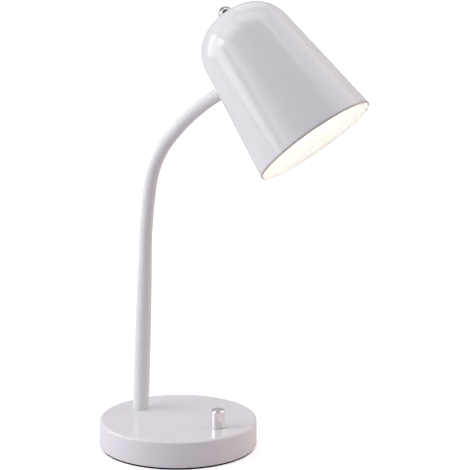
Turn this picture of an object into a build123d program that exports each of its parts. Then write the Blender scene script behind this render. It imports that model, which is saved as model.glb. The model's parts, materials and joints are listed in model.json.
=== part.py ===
from build123d import *
import math
import os

# Desk lamp: round weighted base with a dimmer knob, flexible sleeved neck, bell shade with a finial.
# Millimetres. +Z is up and the origin is the centre of the foot pad's underside.
# +X runs from the neck's foot to the knob, and +Y is to the left of someone looking along +X.

# Base
base_diameter = 150.0
shell_height = 25.1
shell_wall = 1.0
shell_edge_radius = 2.5
pad_thickness = 2.0
pad_inset = 1.2
plate_thickness = 1.2
plate_clearance = 0.3
weight_thickness = 12.0
weight_inset = 4.0
foot_offset = 46.8
knob_offset = 48.7

# Bottom plate fastening
pillar_count = 3
pillar_circle_radius = 55.0
pillar_first_angle = 90.0
pillar_flats = 7.0
pillar_stud_radius = 2.0
pillar_stud_length = 6.0
plate_screw_radius = 1.5
plate_screw_length = 7.0
plate_screw_head_radius = 2.8
plate_screw_head_height = 1.6
plate_screw_slot_length = 4.5
plate_screw_slot_width = 0.8
plate_screw_slot_depth = 0.8

# Cord inlet
gland_bore_radius = 3.3
gland_body_radius = 4.2
gland_flange_radius = 5.1
gland_flange_thickness = 1.6
gland_inner_thickness = 1.4

# Terminal block and earth point
block_length = 22.0
block_width = 18.0
block_height = 10.0
block_edge_radius = 0.9
block_offset = -12.0
block_ways = 2
block_screw_radius = 1.6
block_screw_depth = 1.5
lead_radius = 1.05
lead_spacing = 3.0
lead_floor_gap = 2.2
lead_bend_radius = 3.2
earth_x = -18.0
earth_y = 34.0
earth_tag_radius = 4.5
earth_tag_thickness = 0.8
earth_tag_tail = 9.0
earth_screw_radius = 2.0
earth_screw_length = 7.0
earth_head_radius = 3.6
earth_head_height = 2.4

# Dimmer
dimmer_body_width = 17.0
dimmer_body_height = 10.0
dimmer_edge_radius = 1.0
bush_radius = 3.5
bush_height = 5.4
board_length = 26.0
board_width = 22.0
board_thickness = 1.6
board_margin = 1.0
pocket_clearance = 2.0
connector_length = 7.0
connector_width = 10.0
connector_height = 7.0
capacitor_length = 10.0
capacitor_width = 5.0
capacitor_height = 7.5
choke_radius = 3.5
choke_height = 6.5
dimmer_washer_radius = 5.0
dimmer_washer_thickness = 0.5
dimmer_nut_flats = 9.0
dimmer_nut_thickness = 2.0

# Knob and its shaft
knob_diameter = 13.3
knob_height = 17.0
knob_lift = 0.3
knob_chamfer = 0.8
knob_groove_drop = 2.6
knob_groove_width = 0.5
knob_groove_depth = 0.25
knob_roof = 2.0
knob_skirt_clearance = 0.35
insert_radius = 4.6
shaft_radius = 3.0
shaft_depth = 6.0
shaft_rise = 13.5
shaft_flat_distance = 1.5
shaft_flat_length = 9.0
clip_radius = 4.3
clip_thickness = 0.5
clip_gap = 0.1
running_clearance = 0.05

# Neck path, in the upright plane through the foot: each run has a length and the angle it turns forward.
neck_heading = 7.8
neck_foot_lean = 2.46
foot_run_length = 165.0
sway_arc_length = 58.0
sway_arc_angle = 7.1
crook_arc_length = 49.0
crook_arc_angle = 29.1
reach_arc_length = 66.0
reach_arc_angle = 18.2
end_run_length = 14.8

# Neck: wound core, leads and sleeve
core_radius = 4.5
core_bore_radius = 3.0
sleeve_clearance = 0.1
sleeve_radius = 6.3
sleeve_foot_radius = 7.8
sleeve_low_radius = 7.5
sleeve_low_height = 85.0
sleeve_shoulder_radius = 7.0
sleeve_shoulder_height = 128.0
bend_clearance = 0.6
tilt_angle_limit = 25.0
sway_angle_limit = 20.0

# Places of the bends along the neck: the first two are measured up from the foot, the others back from the end
foot_bend_height = 50.0
foot_to_low_bend = 70.0
middle_to_crook_bend = 52.0
crook_to_reach_bend = 56.0
reach_bend_to_end = 34.8

# Neck end fittings
foot_ferrule_radius = 6.0
foot_ferrule_height = 9.0
foot_ferrule_play = 0.45
ferrule_floor = 1.5
foot_stem_radius = 5.0
foot_stem_bore_radius = 3.25
foot_washer_radius = 9.0
foot_washer_thickness = 1.0
foot_nut_flats = 14.0
foot_nut_thickness = 5.0
foot_stem_overhang = 0.8
top_ferrule_radius = 5.35
top_ferrule_length = 9.0
top_stem_radius = 4.0
top_stem_bore_radius = 2.7
top_washer_radius = 7.5
top_washer_thickness = 1.0
top_nut_flats = 12.0
top_nut_thickness = 3.5
top_stem_overhang = 2.4

# Shade
shade_mouth_radius = 59.05
shade_flare = 7.45
shade_shoulder_radius = 36.45
shade_crown_radius = 64.3
shade_length = 143.5
shade_wall = 0.7
hem_thickness = 0.6
hem_depth = 4.0
neck_hole_distance = 92.1
seat_clearance = 0.05

# Finial
finial_radius = 6.5
finial_height = 6.2
finial_skirt = 1.2
finial_thread_depth = 4.0
finial_washer_radius = 7.0
finial_washer_thickness = 0.8
finial_screw_radius = 2.5
finial_head_radius = 4.2
finial_head_height = 2.6

# Bracket that carries the lampholder
bracket_width = 12.0
bracket_span = 20.0
bracket_drop = 17.5
bracket_thickness = 1.4
holder_nipple_radius = 5.0
holder_nipple_bore_radius = 3.4
holder_nipple_length = 12.0
holder_nut_flats = 13.0
holder_nut_thickness = 2.5
head_lead_radius_from_axis = 21.0
head_lead_fillet = 5.0

# Lampholder for a small screw bulb
holder_radius = 14.0
holder_wall = 1.5
holder_cap_length = 18.0
holder_body_length = 27.0
holder_edge_radius = 3.0
insert_disc_thickness = 6.5
insert_tube_wall = 1.4
socket_bore_radius = 7.0
socket_wall = 0.5
socket_length = 16.0
contact_radius = 2.6
contact_height = 1.2

# Bulb
bulb_thread_clearance = 0.25
bulb_thread_length = 15.0
bulb_tip_radius = 2.3
bulb_tip_height = 1.7
bulb_collar_neck_radius = 8.6
bulb_collar_neck_length = 4.0
bulb_collar_length = 21.0
bulb_collar_flare = 0.6
bulb_globe_radius = 22.5
bulb_globe_wall = 1.2
bulb_globe_seat = 16.0

# Clearances and details shared by several pieces
hole_clearance = 0.2
thread_clearance = 0.05
edge_break = 0.3
trim_allowance = 2.0

# Levels and radii that follow from the sizes above
base_radius = base_diameter / 2
shell_bottom = pad_thickness
shell_top = shell_bottom + shell_height
ceiling = shell_top - shell_wall
plate_top = shell_bottom + plate_thickness
weight_bottom = ceiling - weight_thickness
weight_radius = base_radius - shell_wall - weight_inset
plate_radius = base_radius - shell_wall - plate_clearance
gland_height = (plate_top + weight_bottom) / 2
foot_nut_bottom = weight_bottom - foot_washer_thickness - foot_nut_thickness
foot_stem_bottom = foot_nut_bottom - foot_stem_overhang
board_top = ceiling - dimmer_body_height
board_bottom = board_top - board_thickness
dimmer_lead_height = board_bottom - connector_height / 2
floor_lead_height = plate_top + lead_floor_gap
bush_top = ceiling + shell_wall + bush_height
knob_bottom = shell_top + knob_lift
knob_top = knob_bottom + knob_height
knob_radius = knob_diameter / 2
dimmer_nut_corner_radius = dimmer_nut_flats / math.sqrt(3)
knob_recess_radius = dimmer_nut_corner_radius + knob_skirt_clearance
clip_bottom = bush_top + clip_gap
knob_recess_top = clip_bottom + clip_thickness + clip_gap
shaft_bottom = ceiling - shaft_depth
shaft_top = shell_top + shaft_rise
sleeve_bore_radius = core_radius + sleeve_clearance

# Shade geometry that follows: a cone, a round shoulder and a flatter crown, each touching the next smoothly
cone_angle = math.radians(shade_flare)
crown_centre = shade_length - shade_crown_radius
crown_to_shoulder = shade_crown_radius - shade_shoulder_radius
crown_to_cone = shade_mouth_radius * math.cos(cone_angle) - crown_centre * math.sin(cone_angle)
crown_along_cone = shade_mouth_radius * math.sin(cone_angle) + crown_centre * math.cos(cone_angle)
shoulder_offset = crown_to_cone - shade_shoulder_radius
cone_length = crown_along_cone + math.sqrt(crown_to_shoulder ** 2 - shoulder_offset ** 2)
cone_top_radius = shade_mouth_radius - cone_length * math.sin(cone_angle)
shoulder_centre_radius = cone_top_radius - shade_shoulder_radius * math.cos(cone_angle)
shoulder_centre = (cone_length - shade_shoulder_radius * math.tan(cone_angle)) * math.cos(cone_angle)
shoulder_stop = math.atan2(shoulder_centre - crown_centre, shoulder_centre_radius)

# The neck as a chain of runs, each a length and the angle it turns
neck_runs = [
    (foot_run_length, 0.0),
    (sway_arc_length, sway_arc_angle),
    (crook_arc_length, crook_arc_angle),
    (reach_arc_length, reach_arc_angle),
    (end_run_length, 0.0),
]
neck_length = sum(length for length, turn in neck_runs)
neck_end_lean = neck_foot_lean + sum(turn for length, turn in neck_runs)
shade_tilt = 90.0 - neck_end_lean + shade_flare

# The neck's bends, from the foot up: tilting bends nod forward and back, swaying bends swing sideways
low_bend = foot_bend_height + foot_to_low_bend
reach_bend = neck_length - reach_bend_to_end
crook_bend = reach_bend - crook_to_reach_bend
middle_bend = crook_bend - middle_to_crook_bend
neck_bends = [
    ("foot", foot_bend_height, tilt_angle_limit),
    ("low", low_bend, sway_angle_limit),
    ("middle", middle_bend, tilt_angle_limit),
    ("crook", crook_bend, sway_angle_limit),
    ("reach", reach_bend, tilt_angle_limit),
]
neck_length_names = ["foot", "low", "middle", "crook", "reach", "end"]


# Directions in the neck's upright plane
def forward():
    heading = math.radians(neck_heading)
    return Vector(math.cos(heading), math.sin(heading), 0)


def sideways():
    return Vector(0, 0, 1).cross(forward())


def in_neck_plane(along, height):
    return Vector(-foot_offset, 0, 0) + forward() * along + Vector(0, 0, height)


def advance(along, height, lean, distance, turn):
    # where a run of this length ends, and how far it leans there
    start = math.radians(lean)
    stop = math.radians(lean + turn)
    if abs(turn) < 1e-9:
        return along + distance * math.sin(start), height + distance * math.cos(start), lean
    radius = distance / math.radians(turn)
    new_along = along + radius * (math.cos(start) - math.cos(stop))
    new_height = height + radius * (math.sin(stop) - math.sin(start))
    return new_along, new_height, lean + turn


def neck_state(distance):
    # place along the plane, height and lean of the neck's centreline at a distance from its foot
    along, height, lean = 0.0, shell_top, neck_foot_lean
    left = distance
    for index, (length, turn) in enumerate(neck_runs):
        last = index == len(neck_runs) - 1
        if left <= length or last:
            return advance(along, height, lean, left, turn * left / length)
        along, height, lean = advance(along, height, lean, length, turn)
        left -= length


def neck_point(distance):
    along, height, lean = neck_state(distance)
    return in_neck_plane(along, height)


def neck_frame(distance):
    # a frame on the centreline: Z runs up the neck, X is the forward side, Y is sideways
    along, height, lean = neck_state(distance)
    angle = math.radians(lean)
    up_neck = forward() * math.sin(angle) + Vector(0, 0, math.cos(angle))
    front = forward() * math.cos(angle) - Vector(0, 0, math.sin(angle))
    return Plane(origin=in_neck_plane(along, height), x_dir=front, z_dir=up_neck)


def neck_wire(start, stop):
    # the centreline between two distances, cut where one run meets the next
    joins = [0.0]
    for length, turn in neck_runs:
        joins.append(joins[-1] + length)
    edges = []
    for index, (length, turn) in enumerate(neck_runs):
        low = max(start, joins[index])
        last = index == len(neck_runs) - 1
        high = stop if last else min(stop, joins[index + 1])
        if high - low < 1e-6:
            continue
        if abs(turn) < 1e-9:
            edges.append(Edge.make_line(neck_point(low), neck_point(high)))
        else:
            middle = neck_point((low + high) / 2)
            edges.append(Edge.make_three_point_arc(neck_point(low), middle, neck_point(high)))
    return Wire(edges)


def rod_along_neck(start, stop, radius):
    return sweep(neck_frame(start) * Circle(radius), path=neck_wire(start, stop))


def tube_along_neck(start, stop, outer, inner):
    return rod_along_neck(start, stop, outer) - rod_along_neck(start, stop, inner)


def hexagon_nut(flats, thickness, bore):
    return extrude(RegularPolygon(flats / 2, 6, major_radius=False) - Circle(bore), thickness)


def ring(outer, inner, thickness):
    return extrude(Circle(outer) - Circle(inner), thickness)


def pillar_places():
    step = 360.0 / pillar_count
    for index in range(pillar_count):
        angle = math.radians(pillar_first_angle + step * index)
        yield Vector(pillar_circle_radius * math.cos(angle), pillar_circle_radius * math.sin(angle), 0)


# Base
def base_shell():
    outside = Pos(0, 0, shell_bottom) * extrude(Circle(base_radius), shell_height)
    outside = fillet(outside.edges().group_by(Axis.Z)[-1], shell_edge_radius)
    inside = Pos(0, 0, shell_bottom) * extrude(Circle(base_radius - shell_wall), shell_height - shell_wall)
    inside = fillet(inside.edges().group_by(Axis.Z)[-1], max(shell_edge_radius - shell_wall, edge_break))
    shell = outside - inside
    stem_hole = Pos(-foot_offset, 0, ceiling) * extrude(Circle(foot_stem_radius + hole_clearance), shell_wall)
    bush_hole = Pos(knob_offset, 0, ceiling) * extrude(Circle(bush_radius + hole_clearance), shell_wall)
    gland_axis = Plane(origin=(-base_radius + 2 * shell_wall, 0, gland_height), z_dir=(-1, 0, 0))
    gland_hole = gland_axis * extrude(Circle(gland_body_radius + hole_clearance), 3 * shell_wall)
    return shell - stem_hole - bush_hole - gland_hole


def base_weight():
    disc = Pos(0, 0, weight_bottom) * extrude(Circle(weight_radius), weight_thickness)
    stem_hole = Pos(-foot_offset, 0, weight_bottom) * extrude(
        Circle(foot_stem_radius + hole_clearance), weight_thickness)
    pocket_length = board_length + 2 * pocket_clearance
    pocket_width = board_width + 2 * pocket_clearance
    pocket = Pos(knob_offset, 0, weight_bottom) * extrude(
        RectangleRounded(pocket_length, pocket_width, pocket_clearance), weight_thickness)
    disc = disc - stem_hole - pocket
    for place in pillar_places():
        disc -= Pos(place.X, place.Y, weight_bottom) * extrude(
            Circle(pillar_stud_radius + thread_clearance), pillar_stud_length + edge_break)
    return disc - Pos(earth_x, earth_y, weight_bottom) * extrude(
        Circle(earth_screw_radius + thread_clearance), earth_screw_length)


def bottom_plate():
    plate = Pos(0, 0, shell_bottom) * extrude(Circle(plate_radius), plate_thickness)
    for place in pillar_places():
        plate -= Pos(place.X, place.Y, shell_bottom) * extrude(
            Circle(plate_screw_radius + hole_clearance), plate_thickness)
    return plate


def foot_pad():
    pad = extrude(Circle(base_radius - pad_inset), pad_thickness)
    for place in pillar_places():
        pad -= Pos(place.X, place.Y, 0) * extrude(
            Circle(plate_screw_head_radius + 2 * hole_clearance), pad_thickness)
    return pad


def plate_pillar():
    length = weight_bottom - plate_top
    post = extrude(RegularPolygon(pillar_flats / 2, 6, major_radius=False), length)
    stud = Pos(0, 0, length) * extrude(Circle(pillar_stud_radius), pillar_stud_length)
    bore = extrude(Circle(plate_screw_radius + thread_clearance), plate_screw_length)
    return post + stud - bore


def plate_pillars():
    return [Pos(place.X, place.Y, plate_top) * plate_pillar() for place in pillar_places()]


def plate_screw():
    head = Pos(0, 0, -plate_screw_head_height) * extrude(
        Circle(plate_screw_head_radius), plate_screw_head_height)
    head = fillet(head.edges().group_by(Axis.Z)[0], plate_screw_head_height / 3)
    slot = Pos(0, 0, -plate_screw_head_height) * extrude(
        Rectangle(plate_screw_slot_length, plate_screw_slot_width), plate_screw_slot_depth)
    shank = extrude(Circle(plate_screw_radius), plate_screw_length)
    return head + shank - slot


def plate_screws():
    return [Pos(place.X, place.Y, shell_bottom) * plate_screw() for place in pillar_places()]


def cable_gland():
    # a bush with a flange outside the skirt and a snap ring inside it, bored for the cord
    outer_face = -base_radius
    inner_radius = base_radius - shell_wall
    ring_face = -math.sqrt(inner_radius ** 2 - gland_flange_radius ** 2) + seat_clearance
    body_length = ring_face + gland_inner_thickness - outer_face + gland_flange_thickness
    mouth = Plane(origin=(outer_face - gland_flange_thickness, 0, gland_height), z_dir=(1, 0, 0))
    flange = extrude(Circle(gland_flange_radius), gland_flange_thickness)
    flange = fillet(flange.edges().group_by(Axis.Z)[0], gland_flange_thickness / 2)
    body = extrude(Circle(gland_body_radius), body_length)
    snap = Pos(0, 0, body_length - gland_inner_thickness) * extrude(
        Circle(gland_flange_radius), gland_inner_thickness)
    bore = extrude(Circle(gland_bore_radius), body_length)
    return mouth * (flange + body + snap - bore)


def terminal_block():
    block = Pos(block_offset, 0, weight_bottom - block_height) * extrude(
        RectangleRounded(block_length, block_width, block_edge_radius), block_height)
    for place in block_screw_places():
        block -= Pos(place.X, place.Y, weight_bottom - block_height) * extrude(
            Circle(block_screw_radius + hole_clearance), block_screw_depth + edge_break)
    for side in (-1, 1):
        near_x = block_offset - block_length / 2
        far_x = block_offset + block_length / 2
        y = side * lead_spacing / 2
        low = Plane(origin=(near_x, y, floor_lead_height), z_dir=(1, 0, 0))
        high = Plane(origin=(far_x, y, dimmer_lead_height), z_dir=(-1, 0, 0))
        block -= low * extrude(Circle(lead_radius + thread_clearance), block_length / 4)
        block -= high * extrude(Circle(lead_radius + thread_clearance), block_length / 4)
    return block


def block_screw_places():
    for end in (-1, 1):
        for way in range(block_ways):
            y = (way - (block_ways - 1) / 2) * block_width / block_ways
            yield Vector(block_offset + end * block_length / 4, y, 0)


def terminal_screws():
    bottom = weight_bottom - block_height
    return [Pos(place.X, place.Y, bottom + edge_break) * extrude(Circle(block_screw_radius), block_screw_depth)
            for place in block_screw_places()]


def earth_tag():
    bottom = weight_bottom - earth_tag_thickness
    eye = extrude(Circle(earth_tag_radius), earth_tag_thickness)
    tail = Pos(0, -earth_tag_tail / 2, 0) * extrude(
        Rectangle(earth_tag_radius, earth_tag_tail), earth_tag_thickness)
    hole = extrude(Circle(earth_screw_radius + hole_clearance), earth_tag_thickness)
    return Pos(earth_x, earth_y, bottom) * (eye + tail - hole)


def earth_screw():
    bottom = weight_bottom - earth_tag_thickness
    head = Pos(0, 0, -earth_head_height) * extrude(Circle(earth_head_radius), earth_head_height)
    head = fillet(head.edges().group_by(Axis.Z)[0], earth_head_height / 3)
    shank = extrude(Circle(earth_screw_radius), earth_screw_length)
    return Pos(earth_x, earth_y, bottom) * (head + shank)


# Leads in the base
def base_ends_of_leads():
    # two leads that leave the block, turn up under the neck and rise through its hollow stem
    reach = -foot_offset
    start_x = block_offset - block_length / 4
    leads = []
    for side in (-1, 1):
        y = side * lead_spacing / 2
        route = FilletPolyline(
            (start_x, y, floor_lead_height),
            (reach, y, floor_lead_height),
            (reach, y, shell_top + ferrule_floor),
            radius=lead_bend_radius)
        section = Plane(origin=(start_x, y, floor_lead_height), z_dir=(-1, 0, 0)) * Circle(lead_radius)
        leads.append(sweep(section, path=route))
    return leads


def dimmer_leads():
    start_x = block_offset + block_length / 4
    stop_x = knob_offset - board_length / 2 + connector_length / 2
    leads = []
    for side in (-1, 1):
        start = Plane(origin=(start_x, side * lead_spacing / 2, dimmer_lead_height), z_dir=(1, 0, 0))
        leads.append(start * extrude(Circle(lead_radius), stop_x - start_x))
    return leads


# Dimmer
def dimmer_body():
    body = Pos(knob_offset, 0, board_top) * extrude(
        RectangleRounded(dimmer_body_width, dimmer_body_width, dimmer_edge_radius), dimmer_body_height)
    bore_depth = shaft_depth + edge_break
    return body - Pos(knob_offset, 0, ceiling - bore_depth) * extrude(
        Circle(shaft_radius + running_clearance), bore_depth)


def dimmer_bush():
    return Pos(knob_offset, 0, ceiling) * ring(bush_radius, shaft_radius + running_clearance, bush_top - ceiling)


def dimmer_washer():
    washer = ring(dimmer_washer_radius, bush_radius + thread_clearance, dimmer_washer_thickness)
    return Pos(knob_offset, 0, shell_top) * washer


def dimmer_nut():
    nut = hexagon_nut(dimmer_nut_flats, dimmer_nut_thickness, bush_radius + thread_clearance)
    return Pos(knob_offset, 0, shell_top + dimmer_washer_thickness) * nut


def dimmer_board():
    return Pos(knob_offset, 0, board_bottom) * extrude(Rectangle(board_length, board_width), board_thickness)


def dimmer_connector():
    centre_x = knob_offset - board_length / 2 + connector_length / 2
    block = Pos(centre_x, 0, board_bottom - connector_height) * extrude(
        Rectangle(connector_length, connector_width), connector_height)
    for side in (-1, 1):
        mouth = Plane(
            origin=(centre_x - connector_length / 2, side * lead_spacing / 2, dimmer_lead_height),
            z_dir=(1, 0, 0))
        block -= mouth * extrude(Circle(lead_radius + thread_clearance), connector_length / 2)
    return block


def dimmer_components():
    # what hangs under the board: the connector, a capacitor and a choke
    capacitor_x = knob_offset + board_length / 2 - capacitor_width
    capacitor = Pos(capacitor_x, 0, board_bottom - capacitor_height) * extrude(
        Rectangle(capacitor_width, capacitor_length), capacitor_height)
    choke_y = board_width / 2 - choke_radius - board_margin
    choke = Pos(knob_offset, choke_y, board_bottom - choke_height) * extrude(Circle(choke_radius), choke_height)
    return [dimmer_connector(), capacitor, choke]


# Knob
def dimmer_shaft():
    rod = Pos(knob_offset, 0, shaft_bottom) * extrude(Circle(shaft_radius), shaft_top - shaft_bottom)
    rod = chamfer(rod.edges().group_by(Axis.Z)[-1], edge_break)
    return rod - shaft_flat(shaft_flat_distance)


def shaft_flat(distance):
    # the stuff beyond the flat of a D shaped shaft
    bottom = shaft_top - shaft_flat_length
    depth = shaft_radius
    block = extrude(Rectangle(depth, 4 * shaft_radius), 2 * shaft_flat_length)
    return Pos(knob_offset + distance + depth / 2, 0, bottom) * block


def shaft_clip():
    return Pos(knob_offset, 0, clip_bottom) * ring(clip_radius, shaft_radius + thread_clearance, clip_thickness)


def knob_insert():
    # the plastic bush in the knob, with a bore that fits the shaft's flat
    bottom = knob_recess_top
    height = knob_top - knob_roof - bottom
    bush = Pos(knob_offset, 0, bottom) * extrude(Circle(insert_radius), height)
    bore_top = shaft_top + edge_break
    bore = Pos(knob_offset, 0, bottom) * extrude(Circle(shaft_radius + thread_clearance), bore_top - bottom)
    return bush - (bore - shaft_flat(shaft_flat_distance + thread_clearance))


def dimmer_knob():
    body = Pos(knob_offset, 0, knob_bottom) * extrude(Circle(knob_radius), knob_height)
    body = chamfer(body.edges().group_by(Axis.Z)[-1], knob_chamfer)
    recess = Pos(knob_offset, 0, knob_bottom) * extrude(Circle(knob_recess_radius), knob_recess_top - knob_bottom)
    bore = Pos(knob_offset, 0, knob_bottom) * extrude(
        Circle(insert_radius + thread_clearance), knob_height - knob_roof)
    groove = Pos(knob_offset, 0, knob_top - knob_groove_drop) * ring(
        knob_diameter, knob_radius - knob_groove_depth, knob_groove_width)
    return body - recess - bore - groove


# Neck foot
def foot_ferrule():
    cup = extrude(Circle(foot_ferrule_radius), foot_ferrule_height)
    cup -= Pos(0, 0, ferrule_floor) * extrude(Circle(core_radius + foot_ferrule_play), foot_ferrule_height)
    stem_length = shell_top - foot_stem_bottom
    stem = Pos(0, 0, -stem_length) * extrude(Circle(foot_stem_radius), stem_length)
    bore = Pos(0, 0, -stem_length) * extrude(Circle(foot_stem_bore_radius), stem_length + ferrule_floor)
    return Pos(-foot_offset, 0, shell_top) * (cup + stem - bore)


def foot_washer():
    washer = ring(foot_washer_radius, foot_stem_radius + thread_clearance, foot_washer_thickness)
    return Pos(-foot_offset, 0, weight_bottom - foot_washer_thickness) * washer


def foot_nut():
    nut = hexagon_nut(foot_nut_flats, foot_nut_thickness, foot_stem_radius + thread_clearance)
    return Pos(-foot_offset, 0, foot_nut_bottom) * nut


# Neck core and its leads
def bend_gap(limit):
    # room between two lengths of core, so that they stay apart when the neck bends there
    return 2 * core_radius * math.tan(math.radians(limit / 2)) + bend_clearance


def core_span(index):
    # where one rigid length of the core starts and stops
    play = core_radius * math.sin(math.radians(neck_foot_lean))
    start = ferrule_floor + play + seat_clearance
    stop = neck_length - ferrule_floor
    if index > 0:
        name, place, limit = neck_bends[index - 1]
        start = place + bend_gap(limit) / 2
    if index < len(neck_bends):
        name, place, limit = neck_bends[index]
        stop = place - bend_gap(limit) / 2
    return start, stop


def neck_core(index):
    start, stop = core_span(index)
    return tube_along_neck(start, stop, core_radius, core_bore_radius)


def neck_leads(index):
    # the first length also holds the leads' ends in the base, and the last one runs on into the shade
    start, stop = core_span(index)
    lead = rod_along_neck(start, stop, lead_radius)
    shift = sideways() * (lead_spacing / 2)
    leads = [Pos(-shift.X, -shift.Y, 0) * lead, Pos(shift.X, shift.Y, 0) * lead]
    if index == 0:
        leads += base_ends_of_leads()
    if index == len(neck_bends):
        leads = [lead + end for lead, end in zip(leads, head_ends_of_leads())]
    return leads


# Neck sleeve: one length over each bend, which meet halfway between the bends
def sleeve_joins():
    joins = [0.0]
    for index in range(len(neck_bends) - 1):
        joins.append((neck_bends[index][1] + neck_bends[index + 1][1]) / 2)
    joins.append(neck_length)
    return joins


def tapered_foot():
    # the sleeve's outside over the straight run, thicker at the foot
    start = -trim_allowance
    side = Spline(
        (sleeve_foot_radius, start),
        (sleeve_low_radius, sleeve_low_height),
        (sleeve_shoulder_radius, sleeve_shoulder_height),
        (sleeve_radius, foot_run_length),
        tangents=[(0, 1), (0, 1)])
    outline = Polyline(
        (sleeve_radius, foot_run_length), (0, foot_run_length), (0, start), (sleeve_foot_radius, start))
    return neck_frame(0) * revolve(Plane.XZ * make_face([side, outline]), Axis.Z)


def slab_across_neck(start, stop):
    # a block on the straight run between two distances, wider than the neck
    width = 4 * sleeve_foot_radius
    return neck_frame(start) * extrude(Rectangle(width, width), stop - start)


def neck_sleeve(index):
    joins = sleeve_joins()
    start = joins[index]
    stop = joins[index + 1]
    last = index == len(neck_bends) - 1
    straight_stop = min(stop, foot_run_length)
    body = None
    if start < foot_run_length:
        slab_start = start if index > 0 else -2 * trim_allowance
        body = tapered_foot() & slab_across_neck(slab_start, straight_stop)
        body -= neck_frame(slab_start) * extrude(Circle(sleeve_bore_radius), straight_stop - slab_start)
    if stop > foot_run_length:
        overrun = trim_allowance if last else 0.0
        bent = tube_along_neck(max(start, foot_run_length), stop + overrun, sleeve_radius, sleeve_bore_radius)
        body = bent if body is None else body + bent
    if index == 0:
        under = sleeve_foot_radius
        body -= Pos(-foot_offset, 0, shell_top - under) * extrude(Circle(2 * sleeve_foot_radius), under)
        body -= Pos(-foot_offset, 0, shell_top) * extrude(
            Circle(foot_ferrule_radius + hole_clearance), foot_ferrule_height + hole_clearance)
    if last:
        body -= shade_place() * bell(-seat_clearance, 0)
        body -= neck_frame(neck_length - top_ferrule_length - hole_clearance) * extrude(
            Circle(top_ferrule_radius + sleeve_clearance), top_ferrule_length + 2 * trim_allowance)
    return body


# Neck top
def top_wall_depth():
    return shade_wall + top_washer_thickness + top_nut_thickness


def top_ferrule():
    cup = extrude(Circle(top_ferrule_radius), top_ferrule_length)
    cup -= extrude(Circle(sleeve_bore_radius), top_ferrule_length - ferrule_floor)
    stem_length = top_wall_depth() + top_stem_overhang
    stem = Pos(0, 0, top_ferrule_length) * extrude(Circle(top_stem_radius), stem_length)
    bore = extrude(Circle(top_stem_bore_radius), top_ferrule_length + stem_length)
    return neck_frame(neck_length - top_ferrule_length) * (cup + stem - bore)


def top_washer():
    # a saddle washer: its outer face follows the shade's wall from inside
    blank = ring(top_washer_radius, top_stem_radius + thread_clearance, shade_wall + top_washer_thickness)
    return (neck_frame(neck_length) * blank) & (shade_place() * bell(shade_wall + seat_clearance, 0))


def top_nut():
    nut = hexagon_nut(top_nut_flats, top_nut_thickness, top_stem_radius + thread_clearance)
    return neck_frame(neck_length) * (Pos(0, 0, shade_wall + top_washer_thickness) * nut)


# Shade
def shade_place():
    # origin at the mouth's centre, Z to the dome, X to the front, Y sideways
    tilt = math.radians(shade_tilt)
    to_dome = forward() * -math.sin(tilt) + Vector(0, 0, math.cos(tilt))
    to_front = forward() * math.cos(tilt) + Vector(0, 0, math.sin(tilt))
    hole_depth = neck_hole_distance * math.cos(cone_angle)
    hole_radius = shade_mouth_radius - neck_hole_distance * math.sin(cone_angle)
    mouth = neck_point(neck_length) - to_dome * hole_depth + to_front * hole_radius
    return Plane(origin=mouth, x_dir=to_front, z_dir=to_dome)


def bell_radius(inset, depth):
    # radius of the cone at a depth from the mouth, for a wall set inward
    return shade_mouth_radius - depth * math.tan(cone_angle) - inset / math.cos(cone_angle)


def on_shoulder(inset, angle):
    radius = shade_shoulder_radius - inset
    return shoulder_centre_radius + radius * math.cos(angle), shoulder_centre + radius * math.sin(angle)


def on_crown(inset, angle):
    radius = shade_crown_radius - inset
    return radius * math.cos(angle), crown_centre + radius * math.sin(angle)


def bell(inset, start):
    # the shade's outline as a full solid: a cone, a round shoulder and a flatter crown
    upright = math.pi / 2
    cone_top = on_shoulder(inset, cone_angle)
    shoulder_top = on_shoulder(inset, shoulder_stop)
    apex = (0, crown_centre + shade_crown_radius - inset)
    side = Line((bell_radius(inset, start), start), cone_top)
    shoulder = ThreePointArc(cone_top, on_shoulder(inset, (cone_angle + shoulder_stop) / 2), shoulder_top)
    crown = ThreePointArc(shoulder_top, on_crown(inset, (shoulder_stop + upright) / 2), apex)
    outline = Polyline(apex, (0, start), (bell_radius(inset, start), start))
    return revolve(Plane.XZ * make_face([side, shoulder, crown, outline]), Axis.Z)


def shade():
    cavity = bell(shade_wall, hem_depth)
    mouth_cut = bell(shade_wall + hem_thickness, -trim_allowance)
    body = bell(0, 0) - cavity - mouth_cut
    body -= Pos(0, 0, shade_length - 3 * shade_wall) * extrude(
        Circle(finial_screw_radius + hole_clearance), 4 * shade_wall)
    body = shade_place() * body
    return body - neck_frame(neck_length - shade_wall) * extrude(
        Circle(top_stem_radius + hole_clearance), 4 * shade_wall)


# Finial
def finial_washer():
    blank = ring(finial_washer_radius, finial_screw_radius + thread_clearance, 2 * finial_washer_thickness)
    seat = Pos(0, 0, shade_length - finial_washer_thickness) * blank
    return shade_place() * (seat - bell(-seat_clearance, 0))


def finial():
    # a short skirt under a round cap
    bottom = shade_length + finial_washer_thickness
    cap_height = finial_height - finial_skirt
    cap_radius = (finial_radius ** 2 + cap_height ** 2) / (2 * cap_height)
    cap_centre = finial_height - cap_radius
    half = math.atan2(finial_radius, finial_skirt - cap_centre) / 2
    crown = (cap_radius * math.sin(half), cap_centre + cap_radius * math.cos(half))
    side = Polyline((0, finial_height), (0, 0), (finial_radius, 0), (finial_radius, finial_skirt))
    top = ThreePointArc((finial_radius, finial_skirt), crown, (0, finial_height))
    body = revolve(Plane.XZ * make_face([side, top]), Axis.Z)
    body -= extrude(Circle(finial_screw_radius + thread_clearance), finial_thread_depth)
    return shade_place() * (Pos(0, 0, bottom) * body)


def bracket_top():
    corner = math.hypot(bracket_width / 2, bracket_span / 2)
    return crown_centre + math.sqrt((shade_crown_radius - shade_wall) ** 2 - corner ** 2) - seat_clearance


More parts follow.
